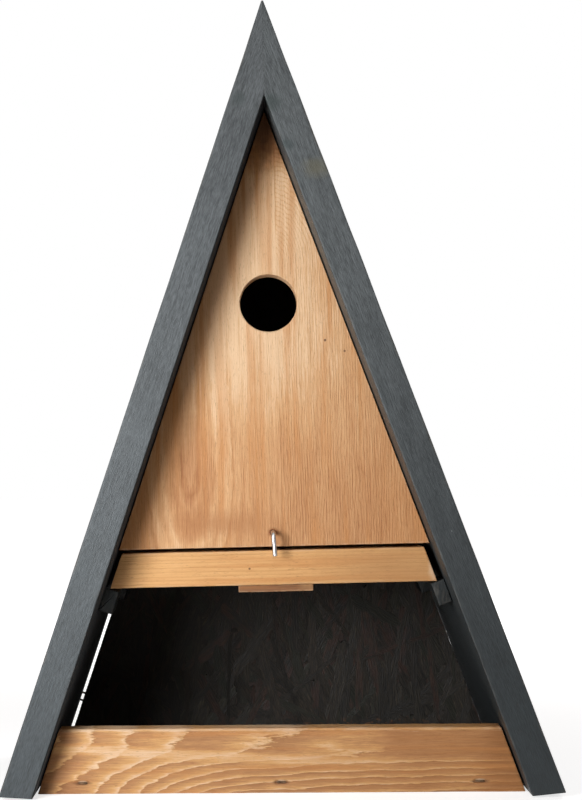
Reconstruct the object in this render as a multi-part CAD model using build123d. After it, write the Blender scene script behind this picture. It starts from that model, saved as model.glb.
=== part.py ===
from build123d import *
import os
from math import cos, radians, sin, tan

# An A-frame nest box. Two side boards lean together at the ridge and stand on their feet.
# Between them a front panel with the entrance hole and a loose nest floor close the nest room,
# and below it a sill, a bay floor and the back panel make an open bay.
# Millimetres, +Z up, the front towards -Y. The origin is the middle of the footprint, at the base.

LEFT = -1
RIGHT = 1

# Frame of two side boards, a little crooked as the hand-made box is
height = 434.3
depth = 180.0
half_angle = 19.6
lean = 1.0
board_t = 18.0
board_ease = 0.8
ridge_blunt = 1.7
foot_cut = 15.0
foot_lift = 0.8

# Front panel, let in between the boards
panel_setback = 32.0
panel_t = 18.0
panel_down = 300.0
panel_fit = 0.35
panel_ease = 0.6
entrance_d = 32.0
entrance_down = 163.5
entrance_ease = 0.5

# Loose nest floor, and the small block under its front edge that a finger pulls
floor_drop = 2.0
floor_t = 19.5
floor_gap_left = 2.8
floor_gap_right = 4.2
floor_back_play = 1.0
floor_ease = 0.8
grip_w = 42.0
grip_t = 4.0
grip_run = 25.0
grip_setback = 3.0
grip_shift = 0.5
grip_ease = 0.5

# Cleats that carry the nest floor's corners, a pair at the front and a pair at the back
cleat_t = 8.0
cleat_h = 13.5
cleat_run = 28.0
cleat_setback = 1.0
cleat_back_gap = 1.0
cleat_seat = 0.1
cleat_ease = 0.5

# Sill, bay floor and back panel
sill_setback = 20.0
sill_t = 16.0
sill_h = 36.0
sill_gap_left = 0.9
sill_gap_right = 0.9
sill_ease = 2.0
bay_floor_t = 12.0
bay_floor_fit = 0.4
back_t = 12.0
back_gap_left = 2.0
back_gap_right = 0.5
joint_fit = 0.2

# Latch: a square-bend screw hook in the panel, whose leg hangs over the nest floor's edge
hook_wire = 2.6
hook_bend = 2.8
hook_stand = 10.0
hook_leg = 13.0
hook_screw = 14.0
hook_point = 3.0
hook_up = 8.0
hook_shift = -0.5
hook_lean = 4.5
hook_play = 0.05
pilot_spare = 1.0

# Wire staples that hold the boards together
staple_crown = 6.0
staple_wire = 1.2
staple_leg = 35.0
staple_point = 1.5
staple_sink = 0.2
staple_play = 0.05
short_leg = 18.0
back_staple_first = 36.0
back_staple_step = 124.0
back_staple_headroom = 75.0
panel_staple_first = 30.0
panel_staple_step = 75.0
panel_staple_count = 2
floor_staple_ends = 32.0
floor_staple_drop = 2.5
sill_staple_inset = 24.0
cleat_staple_ends = 7.0
grip_staple_reach = 13.0
grip_staple_bite = 10.0

front_y = -depth / 2
back_y = depth / 2
panel_y = front_y + panel_setback
panel_back_y = panel_y + panel_t
sill_y = front_y + sill_setback
sill_back_y = sill_y + sill_t
back_panel_y = back_y - back_t
half_r = radians(half_angle)
lean_r = radians(lean)
cut_r = radians(foot_cut)


def slope(side):
    """The angle of a side board from the vertical, in radians."""
    return half_r + side * lean_r


def foot_reach(side):
    """How far a foot's outer corner stands from the ridge, sideways."""
    rise = board_t / cos(cut_r) * sin(slope(side) - cut_r)
    return (ridge_z - foot_lift - rise) * tan(slope(side))


# The sharp ridge that the boards' faces would meet in, before it is blunted
ridge_z = height + ridge_blunt * cos(lean_r)
ridge_x = (foot_reach(LEFT) - foot_reach(RIGHT)) / 2


def at(u, w):
    """The point (x, z) that lies w down the centre line from the ridge and u to its right."""
    x = ridge_x + u * cos(lean_r) + w * sin(lean_r)
    z = ridge_z + u * sin(lean_r) - w * cos(lean_r)
    return x, z


def inner_u(w, inset=0.0):
    """Half the clear width w down the centre line, less an inset from the board's face."""
    return w * tan(half_r) - (board_t + inset) / cos(half_r)


def inner_x(side, z, inset=0.0):
    """Where the plane that lies an inset inside a board's inner face crosses the level z."""
    x0, z0 = at(0, (board_t + inset) / sin(half_r))
    return x0 + side * (z0 - z) * tan(slope(side))


def prism(outline, start, run):
    """An outline in X and Z, drawn back from y = start by run."""
    plane = Plane(origin=(0, start, 0), x_dir=(1, 0, 0), z_dir=(0, -1, 0))
    face = make_face(Polyline(*outline, close=True))
    return extrude(plane * face, -run)


def level_board(low, high, gaps, start, run):
    """A board cut level, with its ends sawn along the side boards, each with its gap."""
    outline = [
        (inner_x(LEFT, high, gaps[0]), high),
        (inner_x(RIGHT, high, gaps[1]), high),
        (inner_x(RIGHT, low, gaps[1]), low),
        (inner_x(LEFT, low, gaps[0]), low),
    ]
    return prism(outline, start, run)


def board_plane(side, z, y):
    """A plane on a board's outer face, square outside the level z of its inner face.

    X runs down the board and Z points out.
    """
    run_down = Vector(side * sin(slope(side)), 0, -cos(slope(side)))
    out = Vector(side * cos(slope(side)), 0, sin(slope(side)))
    inner = Vector(inner_x(side, z), y, z)
    return Plane(origin=inner + out * board_t, x_dir=run_down, z_dir=out)


def staple(leg, play=0.0):
    """A wire staple, driven along -Z with its crown along X; play makes the slot that it cuts."""
    wire = staple_wire + 2 * play
    half = (staple_crown - staple_wire) / 2
    top = -staple_sink + (staple_sink + play if play else 0)
    crown_low = -staple_sink - staple_wire - play
    crown = Pos(0, 0, (top + crown_low) / 2) * Box(staple_crown + 2 * play, wire, top - crown_low)
    tip = -leg - play
    shape = crown
    for end in (-half, half):
        straight = Pos(end, 0, (top + tip + staple_point) / 2) * Box(
            wire, wire, top - tip - staple_point
        )
        root = Plane(origin=(end, 0, tip + staple_point), z_dir=(0, 0, -1))
        point = extrude(root * Rectangle(wire, wire), staple_point, taper=15)
        shape = shape + straight + point
    return shape


def drive(planes, leg, boards):
    """Staples at the planes, and the boards with the staples' slots cut in them."""
    pins = [plane * staple(leg) for plane in planes]
    slots = [plane * staple(leg, staple_play) for plane in planes]
    cut = [board - slots for board in boards]
    return pins, cut


def eased(body, run, radius):
    """A body with its edges along the direction run rounded."""
    edges = body.edges().filter_by(lambda edge: abs((edge % 0.5).dot(run)) > 0.999)
    return fillet(edges, radius)


# Side boards: mitred at the ridge, with their feet sawn a little off level
def side_board(side):
    """A side board, from the ridge's mitre to its foot, with its long edges eased."""
    foot_in = (inner_x(side, foot_lift), foot_lift)
    tilt = slope(side) - cut_r
    cut_len = board_t / cos(cut_r)
    foot_out = (foot_in[0] + side * cut_len * cos(tilt), foot_in[1] + cut_len * sin(tilt))
    mitre_foot = at(0, board_t / sin(half_r))
    blunt = [at(0, ridge_blunt), at(side * ridge_blunt * tan(half_r), ridge_blunt)]
    body = prism(blunt + [foot_out, foot_in, mitre_foot], front_y, depth)
    return eased(body, Vector(side * sin(slope(side)), 0, -cos(slope(side))), board_ease)


# Front panel: a triangle between the boards, with the entrance and the hook's pilot hole
def front_panel():
    """The panel with its entrance hole and pilot hole."""
    half = inner_u(panel_down, panel_fit)
    top = (board_t + panel_fit) / sin(half_r)
    body = prism([at(0, top), at(half, panel_down), at(-half, panel_down)], panel_y, panel_t)
    body = eased(body, Vector(cos(lean_r), 0, sin(lean_r)), panel_ease)
    x, z = at(0, entrance_down)
    middle = panel_y + panel_t / 2
    body -= Pos(x, middle, z) * Rot(90, 0, 0) * Cylinder(entrance_d / 2, panel_t * 2)
    rims = body.edges().filter_by(GeomType.CIRCLE)
    body = chamfer(rims, entrance_ease)
    pilot = hook_screw + pilot_spare
    hx, hz = hook_place()
    bore = Pos(hx, panel_y + pilot / 2, hz) * Rot(90, 0, 0)
    return body - bore * Cylinder(hook_wire / 2 + hook_play, pilot)


def hook_place():
    """Where the hook's shank enters the panel, in x and z."""
    return at(hook_shift, panel_down - hook_up)


def latch_hook():
    """The hook, from its point in the panel to the end of its hanging leg."""
    straight_end = (0, -hook_stand, 0)
    path = FilletPolyline(
        (0, hook_screw - hook_point, 0), straight_end, (0, -hook_stand, -hook_leg), radius=hook_bend
    )
    start = Plane(origin=path @ 0, z_dir=path % 0)
    wire = sweep(start * Circle(hook_wire / 2), path=path)
    leg_end = wire.edges().filter_by(GeomType.CIRCLE).sort_by(Axis.Z)[0]
    wire = chamfer(leg_end, hook_wire / 6)
    point = Pos(0, hook_screw - hook_point / 2, 0) * Rot(-90, 0, 0)
    wire += point * Cone(hook_wire / 2, hook_wire / 8, hook_point)
    x, z = hook_place()
    return Pos(x, panel_y, z) * Rot(0, -hook_lean, 0) * wire


# Nest floor: loose between the boards, its ends sawn to their slope
floor_top = panel_down + floor_drop
floor_low = floor_top + floor_t
floor_run = back_panel_y - floor_back_play - panel_y
floor_gap = {LEFT: floor_gap_left, RIGHT: floor_gap_right}


def floor_corner(side, w):
    """A corner of the nest floor's front, at the distance w down the centre line."""
    return at(side * inner_u(w, floor_gap[side]), w)


def nest_floor():
    """The loose floor of the nest room."""
    outline = [
        floor_corner(LEFT, floor_top),
        floor_corner(RIGHT, floor_top),
        floor_corner(RIGHT, floor_low),
        floor_corner(LEFT, floor_low),
    ]
    body = prism(outline, panel_y, floor_run)
    front_edges = body.edges().group_by(Axis.Y)[0].filter_by(
        lambda edge: abs((edge % 0.5).dot(Vector(cos(lean_r), 0, sin(lean_r)))) > 0.999
    )
    return fillet(front_edges, floor_ease)


def floor_grip():
    """The finger block under the nest floor's front edge."""
    low = floor_low + grip_t
    outline = [
        at(grip_shift - grip_w / 2, floor_low),
        at(grip_shift + grip_w / 2, floor_low),
        at(grip_shift + grip_w / 2, low),
        at(grip_shift - grip_w / 2, low),
    ]
    body = prism(outline, panel_y + grip_setback, grip_run)
    low_edges = body.faces().sort_by(Axis.Z)[0].edges()
    return chamfer(low_edges, grip_ease)


# Cleats: short blocks on the boards' inner faces, with the floor's lower corners on their tops
cleat_fronts = [panel_y + cleat_setback, back_panel_y - cleat_back_gap - cleat_run]


def cleat_frame(side, front):
    """A plane on a board's inner face at a cleat's top: X runs down the board, Z inwards."""
    down = Vector(side * sin(slope(side)), 0, -cos(slope(side)))
    inward = Vector(-side * cos(slope(side)), 0, -sin(slope(side)))
    corner = floor_corner(side, floor_low)
    top = Vector(corner[0], front + cleat_run / 2, corner[1]) - inward * floor_gap[side]
    return Plane(origin=top + down * cleat_seat, x_dir=down, z_dir=inward)


def cleat(side, front):
    """A cleat block, with the edges of its inner face eased."""
    block = Pos(cleat_h / 2, 0, cleat_t / 2) * Box(cleat_h, cleat_run, cleat_t)
    block = chamfer(block.faces().sort_by(Axis.Z)[-1].edges(), cleat_ease)
    return cleat_frame(side, front) * block


def sill_board():
    """The sill across the bay, with eased top edges."""
    body = level_board(0, sill_h, (sill_gap_left, sill_gap_right), sill_y, sill_t)
    top_edges = body.edges().filter_by(Axis.X).group_by(Axis.Z)[-1]
    return fillet(top_edges, sill_ease)


def bay_floor():
    """The floor of the open bay, behind the sill."""
    start = sill_back_y + joint_fit
    run = back_panel_y - joint_fit - start
    return level_board(0, bay_floor_t, (bay_floor_fit, bay_floor_fit), start, run)


def back_panel():
    """The back, one triangle from the base to the ridge's inner corner."""
    left = (inner_x(LEFT, 0, back_gap_left), 0)
    right = (inner_x(RIGHT, 0, back_gap_right), 0)
    rise_left = tan(slope(LEFT))
    rise_right = tan(slope(RIGHT))
    peak_z = (right[0] - left[0]) / (rise_left + rise_right)
    peak = (left[0] + peak_z * rise_left, peak_z)
    return prism([left, peak, right], back_panel_y, back_t)


boards = {LEFT: side_board(LEFT), RIGHT: side_board(RIGHT)}
panel = front_panel()
sill = sill_board()
bay = bay_floor()
back = back_panel()
tray = nest_floor()
grip = floor_grip()
side_name = {LEFT: "left", RIGHT: "right"}
nodes = {}

# Levels where staples enter the back panel's edges, as far up as the panel is wide enough
back_levels = []
level = back_staple_first
while level < at(0, board_t / sin(half_r))[1] - back_staple_headroom:
    back_levels.append(level)
    level += back_staple_step


def panel_levels(side):
    """Levels where staples enter a front panel's edge, counted up from its lower corner."""
    corner = at(side * inner_u(panel_down), panel_down)[1]
    return [corner + panel_staple_first + i * panel_staple_step for i in range(panel_staple_count)]


# Staples through the side boards into the back panel, the front panel and the bay floor
for side in (LEFT, RIGHT):
    name = side_name[side]
    into_back = [board_plane(side, z, back_y - back_t / 2) for z in back_levels]
    pins, (boards[side], back) = drive(into_back, staple_leg, [boards[side], back])
    nodes[name + "_back_staples"] = pins
    into_panel = [board_plane(side, z, panel_y + panel_t / 2) for z in panel_levels(side)]
    pins, (boards[side], panel) = drive(into_panel, staple_leg, [boards[side], panel])
    nodes[name + "_panel_staples"] = pins
    floor_ends = [sill_back_y + floor_staple_ends, back_panel_y - floor_staple_ends]
    into_floor = []
    for y in floor_ends:
        spot = board_plane(side, bay_floor_t - floor_staple_drop, y)
        into_floor.append(spot * Plane(origin=(0, 0, 0), x_dir=(0, 1, 0), z_dir=(0, 0, 1)))
    pins, (boards[side], bay) = drive(into_floor, staple_leg, [boards[side], bay])
    nodes[name + "_floor_staples"] = pins
    pins_here = []
    for place, front in zip(("front", "back"), cleat_fronts):
        seat = cleat_frame(side, front)
        reach = cleat_run / 2 - cleat_staple_ends
        spots = [Plane(origin=(cleat_h / 2, y, cleat_t), x_dir=(0, 1, 0)) for y in (-reach, reach)]
        block = cleat(side, front)
        pins, (block, boards[side]) = drive(
            [seat * spot for spot in spots], short_leg, [block, boards[side]]
        )
        nodes[name + "_" + place + "_cleat"] = block
        pins_here.extend(pins)
    nodes[name + "_cleat_staples"] = pins_here

# Staples through the sill into the bay floor's front edge, and through the grip into the floor
staple_z = bay_floor_t / 2
sill_ends = [inner_x(side, staple_z) - side * sill_staple_inset for side in (LEFT, RIGHT)]
sill_spots = [sill_ends[0], sum(sill_ends) / 2, sill_ends[1]]
into_sill = [
    Plane(origin=(x, sill_y, staple_z), x_dir=(1, 0, 0), z_dir=(0, -1, 0)) for x in sill_spots
]
nodes["sill_staples"], (sill, bay) = drive(into_sill, staple_leg, [sill, bay])

into_grip = []
for reach in (-grip_staple_reach, grip_staple_reach):
    x, z = at(grip_shift + reach, floor_low + grip_t)
    spot = (x, panel_y + grip_setback + grip_run / 2, z)
    into_grip.append(Plane(origin=spot, x_dir=(0, 1, 0), z_dir=(sin(lean_r), 0, -cos(lean_r))))
nodes["grip_staples"], (grip, tray) = drive(into_grip, grip_t + grip_staple_bite, [grip, tray])

nodes["left_side_board"] = boards[LEFT]
nodes["right_side_board"] = boards[RIGHT]
nodes["front_panel"] = panel
nodes["nest_floor"] = tray
nodes["floor_grip"] = grip
nodes["sill_board"] = sill
nodes["bay_floor"] = bay
nodes["back_panel"] = back
nodes["latch_hook"] = latch_hook()

os.makedirs("parts", exist_ok=True)
for name, shape in nodes.items():
    solid = Compound(children=shape) if isinstance(shape, list) else shape
    export_step(solid, "parts/" + name + ".step")
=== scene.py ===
import logging
from collections.abc import Callable, Sequence
from dataclasses import dataclass, field
from enum import Enum
from math import ceil, cos, inf, pi, radians, sin, tan

import bmesh
import bpy
import numpy as np
from mathutils import Euler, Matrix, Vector


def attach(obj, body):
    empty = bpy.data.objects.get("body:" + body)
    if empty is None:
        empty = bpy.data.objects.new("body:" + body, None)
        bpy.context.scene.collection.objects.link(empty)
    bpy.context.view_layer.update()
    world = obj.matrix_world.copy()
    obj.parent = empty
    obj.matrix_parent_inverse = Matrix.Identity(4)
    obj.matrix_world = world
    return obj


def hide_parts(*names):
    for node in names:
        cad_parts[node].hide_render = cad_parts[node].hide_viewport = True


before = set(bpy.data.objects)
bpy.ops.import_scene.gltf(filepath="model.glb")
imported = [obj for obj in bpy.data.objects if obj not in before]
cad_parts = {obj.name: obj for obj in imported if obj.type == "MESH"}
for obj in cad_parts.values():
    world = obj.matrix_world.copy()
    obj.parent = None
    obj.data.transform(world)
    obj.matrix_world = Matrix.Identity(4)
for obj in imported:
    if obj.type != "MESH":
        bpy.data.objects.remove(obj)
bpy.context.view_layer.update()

# An A-frame nest box: two slate-painted side boards, an oiled softwood front, nest floor and sill,
# a black strand-board back, a zinc hook and wire staples.
# Lengths here are millimetres in the row frame; a mesh is put in metres when its piece is made.

Array = np.ndarray
Colour = tuple[float, float, float]
Socket = bpy.types.NodeSocket

MM = 0.001
BOX_BODY = "box"
HOOK_BODY = "latch"
RIGHTWARD, INWARD, UPWARD = np.eye(3)
WHITE = (1.0, 1.0, 1.0)
NO_STRAND = (0.0, 0.0, -1.0)

# Metres: how near two points are one, and how short an edge is none. Degrees: a sharp edge.
SAME_POINT = 2e-6
NO_EDGE = 1e-7
CREASE = 38.0
# Where a length gets closer stations near its ends, and how close stations may come.
END_PLACES = (0.0, 0.08, 0.25, 0.6, 1.5, 3.0)
NEAR_END = 1.6
SPOT_STEP = 0.5
LEAST_STEP = 0.22
SAME_STATION = 0.02
# The furrow over a staple: half its length and width, its slope and its depth.
FURROW_RUN = 3.7
FURROW_SIDE = 1.35
FURROW_SLOPE = 0.5
FURROW_DEPTH = 0.55
# A section's corners take this much of each side, and an arris fades over this length.
CORNER_ROOM = 1.2
ARRIS_FADE = 1.3
# A strand's section: places across in half widths, and how deep each lies in shares of its body.
STRAND_ACROSS = (-1.0, -0.93, -0.3, 0.3, 0.93, 1.0, 0.4, -0.4)
STRAND_SUNK = (0.5, 0.1, 0.0, 0.0, 0.1, 0.5, 1.0, 1.0)

log = logging.getLogger("nest_box")


class Side(Enum):
    """A side board as the front sees it; the value is its direction along X."""

    LEFT = -1
    RIGHT = 1

    @property
    def word(self) -> str:
        """The side's name as the nodes have it."""
        return self.name.lower()


@dataclass(frozen=True)
class BoxLines:
    """The lines that every board is set out from: a tall A that leans a little."""

    height: float = 434.3
    depth: float = 180.0
    half_angle: float = 19.6
    lean_angle: float = 1.0
    board_t: float = 18.0
    ridge_blunt: float = 1.7
    foot_cut: float = 15.0
    foot_lift: float = 0.8
    panel_setback: float = 32.0
    panel_t: float = 18.0
    panel_down: float = 300.0
    sill_setback: float = 20.0
    sill_t: float = 16.0
    back_t: float = 12.0
    hook_shift: float = -0.5
    hook_up: float = 8.0

    @property
    def half(self) -> float:
        """Half the angle between the boards, in radians."""
        return radians(self.half_angle)

    @property
    def lean(self) -> float:
        """How far the A leans, in radians."""
        return radians(self.lean_angle)

    @property
    def front_y(self) -> float:
        """The plane of the side boards' front edges."""
        return -self.depth / 2

    @property
    def panel_y(self) -> float:
        """The front panel's face."""
        return self.front_y + self.panel_setback

    @property
    def sill_y(self) -> float:
        """The sill's face."""
        return self.front_y + self.sill_setback

    @property
    def sill_back_y(self) -> float:
        """The sill's back."""
        return self.sill_y + self.sill_t

    @property
    def back_panel_y(self) -> float:
        """The back panel's inner face."""
        return self.depth / 2 - self.back_t

    @property
    def ridge_z(self) -> float:
        """The level of the sharp ridge, before it is blunted."""
        return self.height + self.ridge_blunt * cos(self.lean)

    @property
    def ridge_x(self) -> float:
        """Where the ridge stands sideways, so that the feet are even about the middle."""
        return (self.foot_reach(Side.LEFT) - self.foot_reach(Side.RIGHT)) / 2

    def slope(self, side: Side) -> float:
        """A side board's angle from the vertical, in radians."""
        return self.half + side.value * self.lean

    def foot_rise(self, side: Side) -> float:
        """How far the foot's outer corner is above its inner one."""
        cut = radians(self.foot_cut)
        return self.board_t / cos(cut) * sin(self.slope(side) - cut)

    def foot_reach(self, side: Side) -> float:
        """How far a foot's outer corner stands from the ridge, sideways."""
        rise = self.ridge_z - self.foot_lift - self.foot_rise(side)
        return rise * tan(self.slope(side))

    def at(self, u: Array | float, w: Array | float) -> tuple[Array, Array]:
        """Turns places in the leaning frame into x and z.

        x = ridge + u cos(lean) + w sin(lean), and z = ridge + u sin(lean) - w cos(lean).

        Args:
            u: distance to the right of the centre line.
            w: distance down the centre line from the ridge.

        Returns:
            x and z, shaped as u and w together.
        """
        x = self.ridge_x + u * cos(self.lean) + w * sin(self.lean)
        z = self.ridge_z + u * sin(self.lean) - w * cos(self.lean)
        return x, z

    def point(self, u: float, w: float, y: float) -> Array:
        """A place of the leaning frame at a depth, as x, y and z."""
        x, z = self.at(u, w)
        return np.array([x, y, z])

    def move(self, u: float, w: float) -> Array:
        """The way from the ridge to a place of the leaning frame."""
        return self.point(u, w, 0.0) - self.point(0.0, 0.0, 0.0)

    def down(self, x: float, z: float) -> float:
        """How far down the centre line a place is."""
        return (x - self.ridge_x) * sin(self.lean) - (z - self.ridge_z) * cos(self.lean)

    def inner_u(self, w: Array | float, inset: float = 0.0) -> Array | float:
        """Half the clear width at w: w tan(half) less the board and inset, over cos(half)."""
        return w * tan(self.half) - (self.board_t + inset) / cos(self.half)

    def inner_x(self, side: Side, z: Array | float, inset: float = 0.0) -> Array | float:
        """Where a board's inner face, less an inset, crosses the level z."""
        x0, z0 = self.at(0.0, (self.board_t + inset) / sin(self.half))
        return x0 + side.value * (z0 - z) * tan(self.slope(side))

    def run_down(self, side: Side) -> Array:
        """The unit direction down a side board."""
        angle = self.slope(side)
        return np.array([side.value * sin(angle), 0.0, -cos(angle)])

    def outward(self, side: Side) -> Array:
        """The unit direction out of a side board's outer face."""
        angle = self.slope(side)
        return np.array([side.value * cos(angle), 0.0, sin(angle)])


@dataclass(frozen=True)
class Spot:
    """A staple's place: the middle of its crown on the surface, and which way it goes."""

    origin: Array
    crown: Array
    drive: Array
    leg: float


@dataclass
class Skin:
    """A surface on its way to a mesh, with the values that its finish reads."""

    points: Array
    faces: list[Sequence[int]]
    point_values: dict[str, Array] = field(default_factory=dict)
    point_vectors: dict[str, Array] = field(default_factory=dict)

    def object(self, name: str, finish: bpy.types.Material, crease: float) -> bpy.types.Object:
        """Makes the mesh, closes its seams and poles, and links its object.

        Args:
            name: the object's name.
            finish: its material.
            crease: the angle in degrees from which an edge is sharp.

        Returns:
            The object, at the origin.
        """
        mesh = bpy.data.meshes.new(name)
        mesh.from_pydata((self.points * MM).tolist(), [], self.faces)
        kinds = (
            ("FLOAT", "value", self.point_values),
            ("FLOAT_VECTOR", "vector", self.point_vectors),
        )
        for kind, key, group in kinds:
            for label, values in group.items():
                layer = mesh.attributes.new(label, kind, "POINT")
                layer.data.foreach_set(key, values.astype(np.float32).ravel())
        shell = bmesh.new()
        shell.from_mesh(mesh)
        bmesh.ops.remove_doubles(shell, verts=shell.verts, dist=SAME_POINT)
        bmesh.ops.dissolve_degenerate(shell, edges=shell.edges, dist=NO_EDGE)
        bmesh.ops.recalc_face_normals(shell, faces=shell.faces)
        shell.to_mesh(mesh)
        shell.free()
        smooth = [len(face.vertices) < 5 for face in mesh.polygons]
        mesh.polygons.foreach_set("use_smooth", smooth)
        mesh.set_sharp_from_angle(angle=radians(crease))
        mesh.materials.append(finish)
        made = bpy.data.objects.new(name, mesh)
        bpy.context.scene.collection.objects.link(made)
        return made

    def piece(
        self,
        node: str,
        look: str,
        finish: bpy.types.Material,
        slot: str,
        body: str = BOX_BODY,
        crease: float = CREASE,
    ) -> bpy.types.Object:
        """Makes the piece that stands for a CAD node, and hands it to its body.

        Args:
            node: the CAD node.
            look: a word for its finish, which its name ends with.
            finish: its material.
            slot: the record's material slot; not used.
            body: the body that it rides on.
            crease: the angle in degrees from which an edge is sharp.

        Returns:
            The finished object.
        """
        made = self.object(f"{node}_{look}", finish, crease)
        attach(made, body)
        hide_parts(node)
        return made


def joined(skins: Sequence[Skin]) -> Skin:
    """Puts several skins in one, with a value for no strand where only some have strands."""
    firsts = np.cumsum([0] + [len(skin.points) for skin in skins]).tolist()
    faces = [
        [corner + first for corner in face]
        for first, skin in zip(firsts, skins)
        for face in skin.faces
    ]
    vectors = {}
    if any(skin.point_vectors for skin in skins):
        strands = [
            skin.point_vectors.get("strand", np.tile(NO_STRAND, (len(skin.points), 1)))
            for skin in skins
        ]
        vectors["strand"] = np.concatenate(strands)
    return Skin(np.concatenate([skin.points for skin in skins]), faces, {}, vectors)


def grid_faces(rows: int, cols: int, loop: bool = False) -> list[Sequence[int]]:
    """Quads of a grid whose last column joins its first.

    Args:
        rows: how many rows of points there are.
        cols: how many points a row has.
        loop: whether the last row joins the first as well.

    Returns:
        The quads, as indices into the points row by row.
    """
    row = np.arange(rows if loop else rows - 1)[:, None]
    col = np.arange(cols)[None, :]
    beside = (col + 1) % cols
    below = (row + 1) % rows
    quads = np.stack(
        [row * cols + col, row * cols + beside, below * cols + beside, below * cols + col], -1
    )
    return quads.reshape(-1, 4).tolist()


def stacked(x: Array, y: Array, z: Array) -> Array:
    """Rows of x, y and z from three arrays."""
    return np.stack(np.broadcast_arrays(x, y, z), -1)


def travelled(line: Array) -> Array:
    """How far along a line each of its points is."""
    return np.append(0, np.cumsum(np.linalg.norm(np.diff(line, axis=0), axis=1)))


def swell(seed: int, a: Array, b: Array, pitch_a: float, pitch_b: float) -> Array:
    """Smooth unevenness between about -1 and 1.

    It is the mean of seven sines of a and b, whose pitches and phases are drawn once.

    Args:
        seed: which draw.
        a: places one way.
        b: places the other way.
        pitch_a: the usual distance between crests along a.
        pitch_b: the same along b.

    Returns:
        The unevenness, shaped as a and b together.
    """
    draw = np.random.default_rng(seed)
    rate_a = draw.uniform(0.5, 1.7, 7) * 2 * pi / pitch_a
    rate_b = draw.uniform(-1.7, 1.7, 7) * 2 * pi / pitch_b
    phase = draw.uniform(0, 2 * pi, 7)
    a, b = np.broadcast_arrays(a, b)
    waves = np.sin(a[..., None] * rate_a + b[..., None] * rate_b + phase)
    return waves.mean(-1) * 1.8


def stations(length: float, step: float, spots: Sequence[float] = (), reach: float = 4.5) -> Array:
    """Places along a length, close together near its ends and near each spot.

    Args:
        length: the whole length.
        step: the plain distance between places.
        spots: where they lie closer.
        reach: how far they do so to each side of a spot.

    Returns:
        The places, rising from 0 to length.
    """
    near = np.array(END_PLACES)
    fine = [np.arange(spot - reach, spot + reach, SPOT_STEP) for spot in spots]
    plain = np.linspace(0, length, ceil(length / step) + 1)
    every = np.unique(np.concatenate([plain, near, length - near, *fine]).clip(0, length))
    ends = (every < NEAR_END) | (every > length - NEAR_END)
    keep = np.append(True, np.diff(every) > LEAST_STEP) | ends
    return every[keep & np.append(True, np.diff(every) > SAME_STATION)]


def pressed(points: Array, spots: Sequence[Spot], depth: float = FURROW_DEPTH) -> Array:
    """Sinks a surface round each staple, where its crown was driven in.

    A point moves along the drive by depth, times a smooth step down over 0.5 mm past the
    crown's length and past its width, if it lies within 1 mm of the spot's plane.

    Args:
        points: the surface, in rows of x, y and z.
        spots: the staples that enter it.
        depth: how deep the furrow is.

    Returns:
        The points with the furrows in them.
    """
    for spot in spots:
        away = points - spot.origin
        across = np.cross(spot.drive, spot.crown)
        run = np.clip((FURROW_RUN - np.abs(away @ spot.crown)) / FURROW_SLOPE, 0, 1)
        side = np.clip((FURROW_SIDE - np.abs(away @ across)) / FURROW_SLOPE, 0, 1)
        near = np.abs(away @ spot.drive) < 1.0
        share = run * run * (3 - 2 * run) * side * side * (3 - 2 * side) * near
        points = points + share[..., None] * depth * spot.drive
    return points


@dataclass(frozen=True)
class Section:
    """A rounded rectangle, walked once round.

    Its four sides are walked in the order q = 0, p = across, q = through, p = 0.
    """

    across: float
    through: float
    sides: tuple[Array, Array, Array, Array]
    arc: int = 5

    def walk(self, radii: Array) -> tuple[Array, Array, Array, Array, Array]:
        """Lays the section out at every station.

        A side's points keep their places; a corner is a quarter circle of its own radius,
        centre + radius (cos t, sin t).

        Args:
            radii: the four corners' radii at each station, in rows.

        Returns:
            p, q, the outward normal's p and q, and how near each point is to an arris.
        """
        ones = np.ones((len(radii), 1))
        corners = [(1, 0, -pi / 2), (1, 1, 0.0), (0, 1, pi / 2), (0, 0, pi)]
        parts: list[tuple[Array, Array, Array, Array, Array]] = []
        for index, (right, top, turn) in enumerate(corners):
            t = turn + np.linspace(0, pi / 2, self.arc)
            r = radii[:, index : index + 1]
            p = right * self.across + (1 - 2 * right) * r + r * np.cos(t)
            q = top * self.through + (1 - 2 * top) * r + r * np.sin(t)
            parts.append(self._side(index, len(radii)))
            parts.append((p, q, ones * np.cos(t), ones * np.sin(t), ones * np.ones(self.arc)))
        return tuple(np.concatenate(column, axis=1) for column in zip(*parts))

    def _side(self, index: int, count: int) -> tuple[Array, Array, Array, Array, Array]:
        """One flat side, in walking order, the same at every station."""
        places = self.sides[index]
        length = self.across if index % 2 == 0 else self.through
        places = places[(places > CORNER_ROOM) & (places < length - CORNER_ROOM)]
        places = places if index < 2 else places[::-1]
        still = np.full_like(places, (0.0, self.across, self.through, 0.0)[index])
        out = np.full_like(places, (-1.0, 1.0, 1.0, -1.0)[index])
        none = np.zeros_like(places)
        near = np.exp(-np.minimum(places, length - places) / ARRIS_FADE)
        level = (places, still, none, out) if index % 2 == 0 else (still, places, out, none)
        return tuple(np.tile(row, (count, 1)) for row in (*level, near))


@dataclass(frozen=True)
class Cut:
    """A sawn end: how far along the board it is, and what each p and q adds to that."""

    along: float
    by_p: float = 0.0
    by_q: float = 0.0
    least: float = -inf

    def run(self, p: Array, q: Array) -> Array:
        """along + by_p p + by_q q, and never under the least."""
        return np.maximum(self.along + self.by_p * p + self.by_q * q, self.least)


@dataclass(frozen=True)
class Lay:
    """How a board lies: its zero, and the way of each millimetre along, across and through it."""

    origin: Array
    along: Array
    across: Array
    through: Array

    def place(self, run: Array, p: Array, q: Array) -> Array:
        """origin + run along + p across + q through."""
        ways = ((run, self.along), (p, self.across), (q, self.through))
        return self.origin + sum(share[..., None] * way for share, way in ways)


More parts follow.
